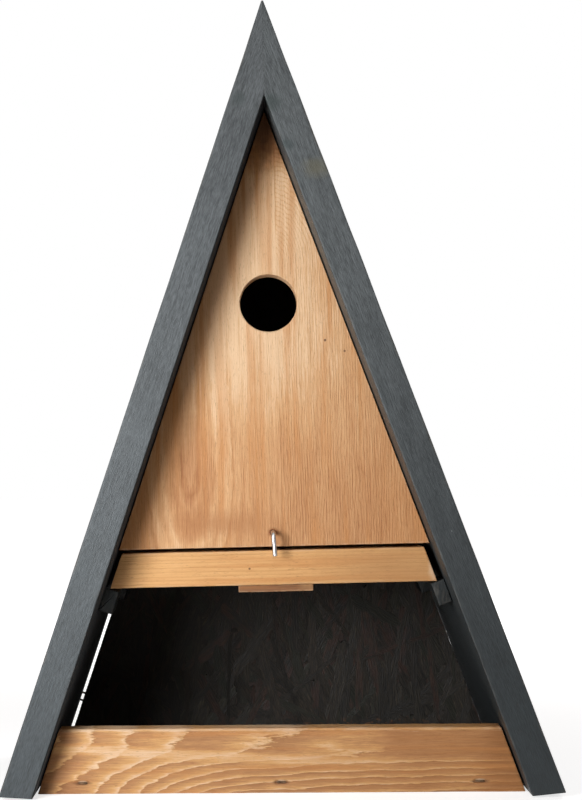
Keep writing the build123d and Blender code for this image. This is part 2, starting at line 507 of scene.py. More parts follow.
@dataclass(frozen=True)
class Board:
    """A sawn board: a rounded section carried along its length between two cut ends."""

    section: Section
    runs: Array
    start: Cut
    stop: Cut
    lay: Lay
    radii: tuple[float, float, float, float]
    seed: int
    end_ease: float = 0.35
    start_ease: float | None = None
    wear: float = 0.35
    hollow: float = 0.14
    torn: float = 0.0

    def skin(self, spots: Sequence[Spot] = ()) -> Skin:
        """Carries the section along the board.

        A point is its section's point, moved in by the end's easing, e - sqrt(e^2 - (e - d)^2)
        at d from an end, and by the face's slight hollows, at start + t (stop - start).

        Args:
            spots: the staples that enter the board.

        Returns:
            The closed skin, with how near each point is to an arris and its share across.
        """
        length = self.runs[-1]
        runs = self.runs[:, None]
        corner = np.arange(4.0)[None, :] * 37.0
        uneven = swell(self.seed, runs, corner, 38.0, 60.0)
        radii = np.array(self.radii) * (1 + self.wear * uneven)
        p, q, out_p, out_q, near = self.section.walk(radii)
        from_end = np.minimum(runs, length - runs)
        first = self.end_ease if self.start_ease is None else self.start_ease
        ease = np.where(runs < length / 2, first, self.end_ease)
        ragged = ease + self.torn * np.abs(swell(self.seed + 5, p, q, 3.0, 2.3))
        short = np.clip(ragged - from_end, 0, None)
        dip = self.hollow * (0.5 + 0.5 * swell(self.seed + 1, runs, p + 1.3 * q, 70.0, 23.0))
        inset = ragged - np.sqrt(ragged**2 - short**2) + np.clip(dip, 0, None)
        p = p - inset * out_p
        q = q - inset * out_q
        start, stop = self.start.run(p, q), self.stop.run(p, q)
        run = start + (runs / length) * (stop - start)
        points = pressed(self.lay.place(run, p, q), spots)
        rows, cols = p.shape
        ring = np.arange(cols)
        caps = [ring[::-1].tolist(), (ring + (rows - 1) * cols).tolist()]
        arris = np.maximum(near, np.exp(-from_end / ARRIS_FADE))
        values = {"arris": arris, "across": p / self.section.across}
        return Skin(points.reshape(-1, 3), [*grid_faces(rows, cols), *caps], values)


@dataclass(frozen=True)
class Tone:
    """A number that a material works out, open to plain arithmetic."""

    bench: "Bench"
    socket: Socket

    def __add__(self, other: "Tone | float") -> "Tone":
        """The sum."""
        return self.bench.math("ADD", self, other)

    def __sub__(self, other: "Tone | float") -> "Tone":
        """The difference."""
        return self.bench.math("SUBTRACT", self, other)

    def __rsub__(self, other: float) -> "Tone":
        """A plain number less this one."""
        return self.bench.math("SUBTRACT", other, self)

    def __mul__(self, other: "Tone | float") -> "Tone":
        """The product."""
        return self.bench.math("MULTIPLY", self, other)

    def __truediv__(self, other: float) -> "Tone":
        """The quotient."""
        return self.bench.math("DIVIDE", self, other)

    def __abs__(self) -> "Tone":
        """The number without its sign."""
        return self.bench.math("ABSOLUTE", self)

    def span(
        self,
        low: float,
        high: float,
        to_low: "Value" = 0.0,
        to_high: float = 1.0,
        kind: str = "SMOOTHSTEP",
    ) -> "Tone":
        """A step from one value to another, flat outside low and high."""
        feeds = {0: self, 1: low, 2: high, 3: to_low, 4: to_high}
        made = self.bench.node("ShaderNodeMapRange", feeds, interpolation_type=kind)
        return Tone(self.bench, made.outputs[0])

    def toward(self, share: "Tone", target: "Tone | float") -> "Tone":
        """This number, moved toward another by a share of the way."""
        return share * self.bench.math("SUBTRACT", target, self) + self


Value = float | Colour | Socket | Tone


@dataclass(frozen=True)
class Mark:
    """A stain or speck: its place, sizes, colour and strength."""

    place: Colour
    sizes: Colour
    colour: Colour
    strength: float
    blur: float = 0.5


class Bench:
    """A material's or the world's nodes, set out by short calls. Its lengths are millimetres."""

    def __init__(self, owner: bpy.types.Material | bpy.types.World) -> None:
        """Starts from the owner's own shader."""
        owner.use_nodes = True
        self.owner = owner
        self.tree = owner.node_tree
        plain = "Background" if isinstance(owner, bpy.types.World) else "Principled BSDF"
        self.shader = self.tree.nodes[plain]

    def feed(self, socket: Socket, value: Value) -> None:
        """Links a socket, or sets it where the value is plain."""
        value = value.socket if isinstance(value, Tone) else value
        if isinstance(value, bpy.types.NodeSocket):
            self.tree.links.new(value, socket)
        elif isinstance(value, tuple) and len(socket.default_value) == 4:
            socket.default_value = (*value, 1.0)
        else:
            socket.default_value = value

    def node(self, kind: str, feeds: dict[int | str, Value], **settings: object) -> bpy.types.Node:
        """Adds a node.

        Args:
            kind: Blender's name for it.
            feeds: what goes into its inputs.
            settings: its own settings.

        Returns:
            The node.
        """
        made = self.tree.nodes.new(kind)
        for key, value in settings.items():
            setattr(made, key, value)
        for key, value in feeds.items():
            self.feed(made.inputs[key], value)
        return made

    def lengths(self, turn: Colour = (0, 0, 0), origin: Colour = (0, 0, 0)) -> Socket:
        """Object coordinates in millimetres, from an origin and turned about the axes."""
        shift = Euler(turn).to_matrix() @ Vector(origin)
        source = self.node("ShaderNodeTexCoord", {}).outputs["Object"]
        feeds = {0: source, 1: tuple(-shift), 2: tuple(turn), 3: (1 / MM, 1 / MM, 1 / MM)}
        return self.node("ShaderNodeMapping", feeds).outputs[0]

    def axes(self, vector: Socket) -> list[Tone]:
        """A vector's three parts."""
        parts = self.node("ShaderNodeSeparateXYZ", {0: vector}).outputs
        return [Tone(self, part) for part in parts]

    def stretch(self, vector: Socket, sizes: Colour, shift: Colour = (0, 0, 0)) -> Socket:
        """Divides a vector by sizes, so that a pattern's unit becomes that long."""
        scales = tuple(1 / size for size in sizes)
        return self.node("ShaderNodeMapping", {0: vector, 1: shift, 3: scales}).outputs[0]

    def math(self, work: str, a: Value, b: Value = 0.0) -> Tone:
        """One arithmetic step."""
        return Tone(self, self.node("ShaderNodeMath", {0: a, 1: b}, operation=work).outputs[0])

    def reach(self, a: Tone, b: Tone) -> Tone:
        """The square root of a^2 + b^2."""
        return self.math("SQRT", a * a + b * b)

    def noise(
        self,
        vector: Socket,
        sizes: Colour,
        detail: float = 2.0,
        rough: float = 0.5,
        shift: Colour = (0, 0, 0),
    ) -> Tone:
        """Noise whose lumps have about the given sizes."""
        place = self.stretch(vector, sizes, shift)
        feeds = {"Vector": place, "Scale": 1.0, "Detail": detail, "Roughness": rough}
        return Tone(self, self.node("ShaderNodeTexNoise", feeds).outputs["Fac"])

    def ramp(self, value: Tone, stops: Sequence[tuple[float, Colour]]) -> Socket:
        """A colour read off straight lines between stops of place and colour."""
        made = self.node("ShaderNodeValToRGB", {0: value})
        band = made.color_ramp.elements
        band[0].position, band[0].color = stops[0][0], (*stops[0][1], 1.0)
        band[1].position, band[1].color = stops[-1][0], (*stops[-1][1], 1.0)
        for place, colour in stops[1:-1]:
            band.new(place).color = (*colour, 1.0)
        return made.outputs[0]

    def steps(self, value: Tone, stops: Sequence[tuple[float, float]]) -> Tone:
        """A number read off straight lines between stops of place and number."""
        made = self.ramp(value, [(place, (tone, tone, tone)) for place, tone in stops])
        return Tone(self, self.node("ShaderNodeSeparateColor", {0: made}).outputs[0])

    def saw(self, rings: Tone, stops: Sequence[tuple[float, float]]) -> Tone:
        """The tone within one growth ring."""
        return self.steps(self.math("FRACT", rings), stops)

    def grey(self, level: Tone) -> Socket:
        """A colour of one level."""
        return self.node("ShaderNodeCombineColor", dict.fromkeys(range(3), level)).outputs[0]

    def mix(self, share: Value, a: Value, b: Value, blend: str = "MIX") -> Socket:
        """Mixes colour a with colour b by a share."""
        feeds = {0: share, 6: a, 7: b}
        made = self.node("ShaderNodeMix", {}, data_type="RGBA", blend_type=blend)
        for key, value in feeds.items():
            self.feed(made.inputs[key], value)
        return made.outputs[2]

    def blob(self, vector: Socket, place: Colour, sizes: Colour, blur: float) -> Tone:
        """A soft-edged patch, 1 in its middle.

        It is a step down of the distance from its place, in units of its sizes, with noise
        added to that distance so that the outline is uneven.
        """
        shift = tuple(-at / size for at, size in zip(place, sizes))
        near = self.stretch(vector, sizes, shift)
        far = self.node("ShaderNodeVectorMath", {0: near}, operation="LENGTH").outputs[1]
        ragged = self.noise(vector, (3, 3, 3)) * 0.8 - 0.4
        return (ragged + far).span(1 - blur, 1 + blur, 1.0, 0.0)

    def marked(self, colour: Socket, vector: Socket, marks: Sequence[Mark]) -> Socket:
        """A colour with marks laid over it, each at its place of the vector."""
        for mark in marks:
            patch = self.blob(vector, mark.place, mark.sizes, mark.blur)
            colour = self.mix(patch * mark.strength, colour, mark.colour)
        return colour

    def own(self, name: str) -> Tone:
        """One of the piece's own values."""
        return Tone(self, self.node("ShaderNodeAttribute", {}, attribute_name=name).outputs["Fac"])

    def seen(self) -> tuple[Tone, Tone]:
        """Whether the camera looks here, and whether a gloss or a clear piece does."""
        path = self.node("ShaderNodeLightPath", {}).outputs
        either = self.math("MAXIMUM", path["Is Glossy Ray"], path["Is Transmission Ray"])
        return Tone(self, path["Is Camera Ray"]), either

    def shade(self, **values: Value) -> None:
        """Sets the shader's inputs, whose names have _ for a space."""
        for name, value in values.items():
            self.feed(self.shader.inputs[name.replace("_", " ")], value)

    def coat(self, colour: Value, rough: Value, relief: Value, depth: float) -> bpy.types.Material:
        """Puts colour, roughness and relief on the shader.

        Args:
            colour: the base colour.
            rough: the roughness.
            relief: a height between 0 and 1.
            depth: how many millimetres a height of 1 is.

        Returns:
            The material.
        """
        bump = self.node("ShaderNodeBump", {"Height": relief, "Distance": depth * MM})
        self.shade(Base_Color=colour, Roughness=rough, Normal=bump.outputs[0])
        return self.owner


@dataclass(frozen=True)
class SlatePaint:
    """Thin slate-grey paint over softwood, brushed along the board; painted shade darkens it
    towards the foot.
    """

    name: str
    turn: float
    # Painted shade: low is the paint's colour at the foot and high at the top, so the foot is
    # darker as if the lamp fell off there.
    low: Colour = (0.034, 0.041, 0.045)
    high: Colour = (0.080, 0.088, 0.093)
    marks: tuple[Mark, ...] = ()
    # Painted shade: inside is a near-black colour for the inner face, which is turned away from the
    # lamp.
    inside: Colour | None = (0.0035, 0.0035, 0.0035)
    gloss: float = 0.55
    bare: Colour = (0.11, 0.10, 0.085)
    dust: Colour = (0.30, 0.32, 0.31)

    def material(self) -> bpy.types.Material:
        """Sets out the grain and brush lines, specks, marks and worn arrises."""
        bench = Bench(bpy.data.materials.new(self.name))
        place = bench.lengths((0.0, self.turn, 0.0))
        world = bench.lengths()
        # Painted shade: rise takes the paint from low at the foot to high at the top.
        rise = bench.axes(world)[2].span(0.0, 430.0)
        hair = bench.noise(place, (0.5, 0.5, 4.6), 2.0, 0.75)
        brush = bench.noise(place, (0.8, 0.8, 24.0), 3.0, 0.62, (2, 5, 3))
        cloud = bench.noise(place, (12.0, 12.0, 24.0), 3.0, 0.6)
        level = (hair * 1.3 + brush * 0.6 + cloud * 0.4).span(0.68, 1.62, 0.35, 1.66)
        colour = bench.mix(rise, self.low, self.high)
        colour = bench.mix(1.0, colour, bench.grey(level), "MULTIPLY")
        worn = bench.noise(place, (2.0, 2.0, 9.0), 3.0).span(0.45, 0.7, 0.0, 0.45)
        colour = bench.mix(worn * bench.own("arris").span(0.6, 1.0), colour, self.bare)
        specks = {"Vector": bench.stretch(place, (15, 15, 21)), "Scale": 1.0}
        cells = bench.node("ShaderNodeTexVoronoi", specks).outputs["Distance"]
        colour = bench.mix(Tone(bench, cells).span(0.016, 0.03, 0.5, 0.0), colour, self.dust)
        colour = bench.marked(colour, world, self.marks)
        rough = brush * 0.24 + 0.42
        # Painted shade: where an inside colour is set, the inner face is painted with it and made
        # rougher.
        if self.inside:
            inside = bench.own("across").span(0.945, 0.975)
            colour = bench.mix(inside, colour, self.inside)
            rough = inside * 0.5 + rough
        bench.shade(Specular_IOR_Level=self.gloss, Specular_Tint=(0.92, 0.97, 1.0))
        return bench.coat(colour, rough, hair * 0.8 + brush * 0.4, 0.2)


class Stock(Enum):
    """Where a softwood board comes from, which decides its figure."""

    PANEL = "panel_pine"
    FLOOR = "floor_pine"
    GRIP = "grip_pine"
    SILL = "sill_larch"


@dataclass(frozen=True)
class OiledSoftwood:
    """Oiled softwood: growth rings, fibres along the grain, blotches and pale worn arrises."""

    stock: Stock
    lines: BoxLines
    dark: Colour
    middle: Colour
    golden: Colour
    pale: Colour
    marks: tuple[Mark, ...] = ()
    fibre: float = 0.5
    wear: float = 0.35
    resin: Colour = (0.56, 0.24, 0.075)
    pores: Colour = (0.25, 0.115, 0.045)
    bare: Colour = (0.72, 0.50, 0.32)

    def material(self) -> bpy.types.Material:
        """Lays fibres and blotches over the stock's figure and turns the tone into colour."""
        bench = Bench(bpy.data.materials.new(self.stock.value + "_oiled"))
        lean = 0.0 if self.stock is Stock.SILL else self.lines.lean
        turn = lean if self.stock is Stock.PANEL else lean + pi / 2
        ridge = (self.lines.ridge_x, 0.0, self.lines.ridge_z)
        grain = bench.lengths((0.0, turn, 0.0), ridge)
        figures = {Stock.PANEL: self._staves, Stock.SILL: self._flat_sawn}
        tone, warmth_and_painted_shade = figures.get(self.stock, self._level)(bench, grain)
        fine = bench.noise(grain, (0.33, 0.33, 9.0), 2.0, 0.6)
        coarse = bench.noise(grain, (0.85, 0.85, 42.0), 3.0, 0.62, (5, 2, 3))
        cloud = bench.noise(grain, (11.0, 11.0, 40.0), 3.0, 0.6, (1, 8, 4))
        fibres = (fine * 1.3 + coarse * 0.9) * self.fibre - 1.1 * self.fibre
        tone = tone + fibres + (cloud * 0.5 - 0.25)
        stops = [(0.0, self.dark), (0.4, self.middle), (0.7, self.golden), (1.0, self.pale)]
        colour = bench.ramp(tone, stops)
        glow = bench.noise(grain, (5.0, 5.0, 110.0), 3.0, shift=(2, 6, 9))
        # The resin colour comes in by the grain's glow and by the figure's warmth, which is partly
        # painted shade: the panel's left edge and the sill's right side.
        colour = bench.mix(glow.span(0.46, 0.7, 0.0, 0.55) + warmth_and_painted_shade, colour, self.resin)
        pore = bench.noise(grain, (0.26, 0.26, 2.8), 1.0, shift=(3, 3, 3))
        colour = bench.mix(pore.span(0.62, 0.76, 0.0, 0.55), colour, self.pores)
        worn = bench.noise(grain, (2.2, 2.2, 6.0), 3.0).span(0.36, 0.62, 0.0, self.wear)
        colour = bench.mix(worn * bench.own("arris").span(0.6, 1.0), colour, self.bare)
        colour = bench.marked(colour, bench.lengths(), self.marks)
        bench.shade(Specular_IOR_Level=0.3)
        return bench.coat(colour, coarse * 0.24 + 0.46, fine * 0.6 + tone * 0.5, 0.3)

    def _staves(self, bench: Bench, grain: Socket) -> tuple[Tone, Tone]:
        """The panel's two glued staves.

        To the right of the joint the rings' distance is sqrt(u^2 + d^2), where d grows up the
        stave, so that they arch over at its top and run straight below. To its left it grows
        down the stave, so that they close in a U, and they are broad.
        """
        u, _, up = bench.axes(grain)
        wander = bench.noise(grain, (14.0, 14.0, 60.0)) * 5.0 - 2.5
        ripple = bench.noise(grain, (3.0, 3.0, 9.0))
        rise = bench.math("MAXIMUM", up + 142.0, 0.0) * 0.62
        wide = ripple * 2.1 + bench.reach(u - 1.5 + wander, rise)
        close = [(0.0, 0.50), (0.55, 0.56), (0.8, 0.40), (0.93, 0.22), (1.0, 0.46)]
        right = bench.saw(wide / 1.55, close)
        drop = bench.math("MAXIMUM", -253.0 - up, 0.0) * 0.3
        broad = (ripple * 3.2 + bench.reach(u + 46.3 + wander, drop) - 1.6) / 60.0
        bands = [
            (0.0, 0.52), (0.05, 0.60), (0.09, 0.22), (0.12, 0.56), (0.17, 0.38), (0.215, 0.50),
            (0.25, 0.86), (0.30, 0.66), (0.33, 0.84), (0.38, 0.80), (0.395, 0.42), (0.43, 0.68),
            (0.50, 0.50), (0.56, 0.66), (0.63, 0.48), (0.72, 0.58), (0.85, 0.50), (1.0, 0.52),
        ]
        lines = bench.noise(grain, (0.75, 0.75, 260.0), 2.0, 0.4, (9, 1, 1)) * 0.3 - 0.15
        left = bench.steps(broad, bands) + lines
        tone = left.toward(u.span(4.9, 5.3), right) + abs(u - 5.1).span(0.1, 0.45, -0.16, 0.0)
        pale = up.span(-250.0, -185.0) * up.span(-60.0, -100.0) * u.span(55.0, 15.0)
        tone = tone + pale * 0.46 + up.span(-225.0, -290.0, 0.0, -0.14)
        # Painted shade: the tone drops over the panel's top, under the ridge, where the boards
        # shade it.
        tone = tone + up.span(-96.0, -70.0, 0.0, -0.8)
        right_edge = u.span(40.0, 85.0) * up.span(-190.0, -270.0)
        # Painted shade: along the left edge, in the left board's cast shadow, the wood is tinted
        # toward the deeper resin colour.
        left_edge_painted_shadow = (up * -tan(self.lines.half) + u).span(20.0, 44.0, 0.5, 0.0)
        return tone, right_edge * 0.3 + left_edge_painted_shadow

    def _level(self, bench: Bench, grain: Socket) -> tuple[Tone, Tone]:
        """Straight level grain: close rings cut nearly along their length."""
        across, deep, along = bench.axes(grain)
        wander = bench.noise(grain, (6.0, 30.0, 90.0)) * 4.0
        close = [(0.0, 0.56), (0.6, 0.62), (0.84, 0.46), (0.94, 0.32), (1.0, 0.5)]
        return bench.saw((deep * 0.35 + (wander + across)) / 2.3, close), along * 0.0

    def _flat_sawn(self, bench: Bench, grain: Socket) -> tuple[Tone, Tone]:
        """The sill's flat-sawn figure.

        The ring number is a(x) + b h, with h the depth below a golden band that falls gently
        to the right. Above the band b is small, so that the rings stand up steeply; below it
        they run down to the left, and on the right they close up into level lines.
        """
        x, _, z = bench.axes(bench.lengths())
        below = bench.math("MAXIMUM", 5.0 - x, 0.0) * 0.056 + 19.6 - z
        table = [
            (-150, -5.2), (-106.5, -3.0), (-85.4, -2.0), (-61, -1.0),
            (-25, 0.0), (27.6, 1.0), (150, 1.6),
        ]
        stops = [((place + 150) / 300, (count + 5.5) / 8) for place, count in table]
        count = bench.steps(x / 300 + 0.5, stops) * 8.0 + 0.5
        under = bench.math("MAXIMUM", below, 0.0) * x.span(-110.0, -10.0, 0.075, 0.25)
        over = bench.math("MINIMUM", below, 0.0) * x.span(-80.0, 20.0, 0.014, 0.045)
        jag = bench.noise(grain, (0.45, 0.45, 5.0), 2.0, 0.7) - 0.5
        lump = bench.noise(grain, (5.0, 20.0, 26.0), 3.0, 0.6) - 0.5
        rings = count + under + over + jag * below.span(-4.0, 1.0, 0.40, 0.13) + lump
        saw = [(0.0, 0.20), (0.3, 0.32), (0.6, 0.46), (0.8, 0.62), (0.94, 0.84), (1.0, 0.55)]
        tone = bench.saw(rings, saw)
        heart = abs(below - 1.5).span(1.0, 4.5, 1.0, 0.0) * x.span(10.0, 80.0, 0.75, 0.0)
        plain = below.span(0.0, -3.0) * x.span(46.0, 66.0)
        tone = tone.toward(heart, 0.92).toward(plain, 0.26)
        # Painted shade and light: the right end is darkened over its last 24 mm and the left end
        # over its first 28 mm, as if shaded; the top arris, 33.6 to 35.4 mm up, is made paler as if
        # lit from above.
        tone = tone + x.span(-105.0, -20.0, 0.16, 0.03) + x.span(104.0, 128.0, 0.0, -0.42)
        tone = tone + x.span(-128.0, -100.0, -0.26, 0.0) + z.span(33.6, 35.4, 0.0, 0.42)
        # Painted shade: the sill is tinted warmer toward its right, where the lamp's light falls
        # off.
        return tone, heart * 0.12 + x.span(-20.0, 120.0, 0.0, 0.22)


@dataclass(frozen=True)
class StrandBoard:
    """Black-stained strand board: the stain is thin on some strands and worn off edges."""

    name: str = "strand_board_stained"
    stain: tuple[tuple[float, Colour], ...] = (
        (0.2, (0.006, 0.0055, 0.005)),
        (0.5, (0.019, 0.016, 0.0125)),
        (0.72, (0.038, 0.031, 0.023)),
        (0.9, (0.085, 0.066, 0.044)),
    )
    rosy: Colour = (0.055, 0.019, 0.013)
    mossy: Colour = (0.022, 0.026, 0.017)
    bare: Colour = (0.11, 0.085, 0.055)
    damp: Colour = (0.20, 0.085, 0.035)

    def material(self) -> bpy.types.Material:
        """Colours each strand by its own number and streaks it along its own length."""
        bench = Bench(bpy.data.materials.new(self.name))
        strand = bench.node("ShaderNodeAttribute", {}, attribute_name="strand").outputs["Vector"]
        _, across, number = bench.axes(strand)
        fibre = bench.noise(strand, (9.0, 0.22, 1.0), 3.0, 0.7).span(0.3, 0.72)
        patch = bench.noise(strand, (12.0, 1.2, 1.0), shift=(3, 1, 2))
        pick = bench.node("ShaderNodeTexWhiteNoise", {1: number}, noise_dimensions="1D")
        pick = Tone(bench, pick.outputs[0])
        colour = bench.ramp(pick * 0.22 + fibre * 0.5 + patch * 0.3, self.stain)
        other = bench.math("FRACT", pick * 17.0)
        rosy = other.span(0.72, 0.76, 0.0, 0.45) * patch.span(0.35, 0.6)
        colour = bench.mix(rosy, colour, self.rosy)
        colour = bench.mix(other.span(0.2, 0.1, 0.0, 0.4), colour, self.mossy)
        rim = abs(across).span(0.86, 1.0, 0.0, 0.35) * patch.span(0.5, 0.7)
        colour = bench.mix(rim, colour, self.bare)
        place = bench.lengths()
        flecks = bench.noise(place, (3.5, 3.5, 2.0)).span(0.56, 0.66, 0.0, 0.5)
        low = bench.blob(place, (60.0, 78.0, 16.0), (46.0, 60.0, 4.5), 0.6)
        colour = bench.mix(low * flecks, colour, self.damp)
        bench.shade(Specular_IOR_Level=0.35)
        return bench.coat(colour, fibre * 0.3 + 0.45, fibre, 0.2)


@dataclass(frozen=True)
class Wire:
    """Drawn steel wire with a thin zinc coat, dulled by handling."""

    name: str
    bright: Colour
    dull: Colour
    rough: float

    def material(self) -> bpy.types.Material:
        """Mixes bright and dull zinc in small clouds, with fine drawing lines."""
        bench = Bench(bpy.data.materials.new(self.name))
        place = bench.lengths()
        cloud = bench.noise(place, (1.6, 1.6, 1.6), 4.0, 0.7)
        lines = bench.noise(place, (0.12, 1.5, 1.5))
        colour = bench.mix(cloud.span(0.35, 0.7), self.bright, self.dull)
        bench.shade(Metallic=1.0)
        return bench.coat(colour, cloud * 0.3 + self.rough, lines, 0.02)


@dataclass(frozen=True)
class SideBoards:
    """The two painted side boards, mitred at the ridge."""

    lines: BoxLines
    ease: float = 0.8
    step: float = 6.5

    def build(
        self, finishes: dict[Side, bpy.types.Material], spots: dict[Side, list[Spot]]
    ) -> list[bpy.types.Object]:
        """Makes both boards.

        Args:
            finishes: each side's paint.
            spots: the staples in each outer face.

        Returns:
            The pieces.
        """
        return [self._board(side, finishes[side], spots[side]) for side in Side]

    def _board(self, side: Side, finish: bpy.types.Material, spots: list[Spot]) -> bpy.types.Object:
        """One board, from the mitre, cut off where the ridge is blunt, to the sawn foot."""
        lines, t = self.lines, self.lines.board_t
        tilt = cos(lines.lean) - side.value * sin(lines.lean) * tan(lines.half)
        foot_in = lines.ridge_z - side.value * sin(lines.lean) * t / cos(lines.half)
        foot_in = (foot_in - lines.foot_lift) / tilt
        foot_out = (lines.ridge_z - lines.foot_lift - lines.foot_rise(side)) / tilt
        levels = [lines.down(spot.origin[0], spot.origin[2]) - lines.ridge_blunt for spot in spots]
        depths = sorted({round(float(spot.origin[1]) - lines.front_y, 2) for spot in spots})
        edge = stations(t, 2.0)
        inner = stations(lines.depth, self.step)
        outer = stations(lines.depth, self.step, depths, 3.8)
        board = Board(
            section=Section(t, lines.depth, (edge, inner, edge, outer)),
            runs=stations(foot_out - lines.ridge_blunt, self.step, levels, 4.5),
            start=Cut(0.0, by_p=1 / sin(lines.half), least=lines.ridge_blunt),
            stop=Cut(foot_out, by_p=(foot_in - foot_out) / t),
            lay=Lay(
                lines.point(0.0, 0.0, lines.front_y),
                lines.move(side.value * tan(lines.half), 1.0),
                lines.move(-side.value / cos(lines.half), 0.0),
                INWARD,
            ),
            radii=(self.ease, self.ease, self.ease, self.ease),
            seed=11 + side.value,
            hollow=0.18,
            start_ease=0.03,
        )
        return board.skin(spots).piece(side.word + "_side_board", "painted", finish, "grey_paint")


@dataclass(frozen=True)
class FrontPanel:
    """The panel with its entrance hole, let in between the boards."""

    lines: BoxLines
    fit: float = 0.6
    entrance_down: float = 163.5
    entrance_r: float = 16.0
    rim: float = 0.5
    edge: float = 0.6
    face_rings: int = 64
    back_rings: int = 22
    hole_rings: int = 11
    even_rays: int = 300
    crater_r: float = 2.3
    crater_slope: float = 0.9
    crater_depth: float = 1.1

    @property
    def drop(self) -> float:
        """How far the lower edge is below the hole's middle."""
        return self.lines.panel_down - self.entrance_down

    def outline(self, angle: Array, inset: float) -> Array:
        """How far the panel's edge is from the hole's middle.

        Along a ray it is the nearer of the two slanted edges, room / (|sin| - cos tan(half)),
        and the lower edge, height / cos.

        Args:
            angle: the rays' angles from straight down.
            inset: how far inside the edge the line lies.

        Returns:
            The distances.
        """
        room = self.lines.inner_u(self.entrance_down, self.fit + inset)
        down = np.cos(angle)
        aside = np.abs(np.sin(angle)) - down * tan(self.lines.half)
        slant, base = (
            np.where(share > 1e-6, height / np.where(share > 1e-6, share, 1.0), 1e6)
            for share, height in ((aside, room), (down, self.drop - inset))
        )
        return np.minimum(slant, base)

    def rays(self) -> Array:
        """The rays' angles: even, with the corners and the hook's place added."""
        corner = np.arctan2(self.lines.inner_u(self.lines.panel_down, self.fit), self.drop)
        hook = self.lines.hook_shift / (self.drop - self.lines.hook_up)
        even = np.linspace(-pi, pi, self.even_rays, endpoint=False)
        fine = hook + np.linspace(-0.03, 0.03, 25)
        every = np.unique(np.concatenate([even, fine, [corner, -corner]]))
        keep = np.append(True, np.diff(every) > 0.0012)
        return every[keep | np.isin(every, [corner, -corner])]

    def rings(self, angle: Array) -> tuple[Array, Array, Array]:
        """The rings that wrap the panel, from the hole out, over the edge and back.

        Returns:
            Each ring's distance from the hole's middle, its depth behind the face, and how
            near an arris it is.
        """
        t, edge = self.lines.panel_t, self.edge
        fuzz = 0.25 * swell(31, angle, angle * 0, 0.10, 1.0)
        hole = self.entrance_r + 0 * angle
        rim = hole + self.rim + np.clip(fuzz, -0.3, 0.3)
        width = self.outline(angle, edge) - rim
        hook = 1 - self.lines.hook_up / (self.drop - rim.mean())
        fine = [hook + np.linspace(-0.032, 0.032, 27), [0.004, 0.01, 0.995, 0.99]]
        share = np.unique(np.concatenate([np.linspace(0, 1, self.face_rings), *fine]))
        share = share[np.append(True, np.diff(share) > 0.0014)]
        rows = [(rim + width * s, 0.0, max(np.exp(-s * 90), np.exp((s - 1) * 90))) for s in share]
        for a in np.linspace(0, pi / 2, 5)[1:]:
            rows.append((self.outline(angle, edge * (1 - sin(a))), edge * (1 - cos(a)), 1.0))
        for depth in np.linspace(edge, t - edge, 5)[1:]:
            rows.append((self.outline(angle, 0.0), depth, 0.2))
        for a in np.linspace(0, pi / 2, 4)[1:]:
            rows.append((self.outline(angle, edge * (1 - cos(a))), t - edge * (1 - sin(a)), 1.0))
        for s in np.linspace(1, 0, self.back_rings)[1:]:
            rows.append((rim + width * s, t, 0.1))
        for depth in np.linspace(t - self.rim, self.rim, self.hole_rings):
            chatter = 0.12 * np.abs(swell(37, angle, angle * 0 + depth, 0.25, 4.0))
            rows.append((hole + chatter, depth, 0.3))
        away, depth, near = zip(*rows)
        return np.stack(away), np.array(depth), np.array(near)

    def build(self, finish: bpy.types.Material) -> list[bpy.types.Object]:
        """Makes the panel.

        A point is the hole's middle + distance (sin, cos) of its ray, in the leaning frame.
        The face is planed slightly hollow, and sinks in a small crater round the hook.

        Args:
            finish: its oiled wood.

        Returns:
            The piece.
        """
        lines, angle = self.lines, self.rays()
        away, depth, near = self.rings(angle)
        u = away * np.sin(angle)
        w = self.entrance_down + away * np.cos(angle)
        depth, near = (np.repeat(row[:, None], len(angle), 1) for row in (depth, near))
        front, back = depth < 0.01, depth > lines.panel_t - 0.01
        hollow = np.clip(0.08 + 0.08 * swell(41, u, w, 9.0, 160.0), 0, None)
        from_hook = np.hypot(u - lines.hook_shift, w - lines.panel_down + lines.hook_up)
        crater = np.clip((self.crater_r - from_hook) / self.crater_slope, 0, 1)
        crater = self.crater_depth * crater * crater
        depth = depth + front * (hollow + crater) - back * hollow
        x, z = lines.at(u, w)
        points = stacked(x, lines.panel_y + depth, z).reshape(-1, 3)
        skin = Skin(points, grid_faces(*depth.shape, loop=True), {"arris": near})
        return [skin.piece("front_panel", "oiled", finish, "panel_pine")]


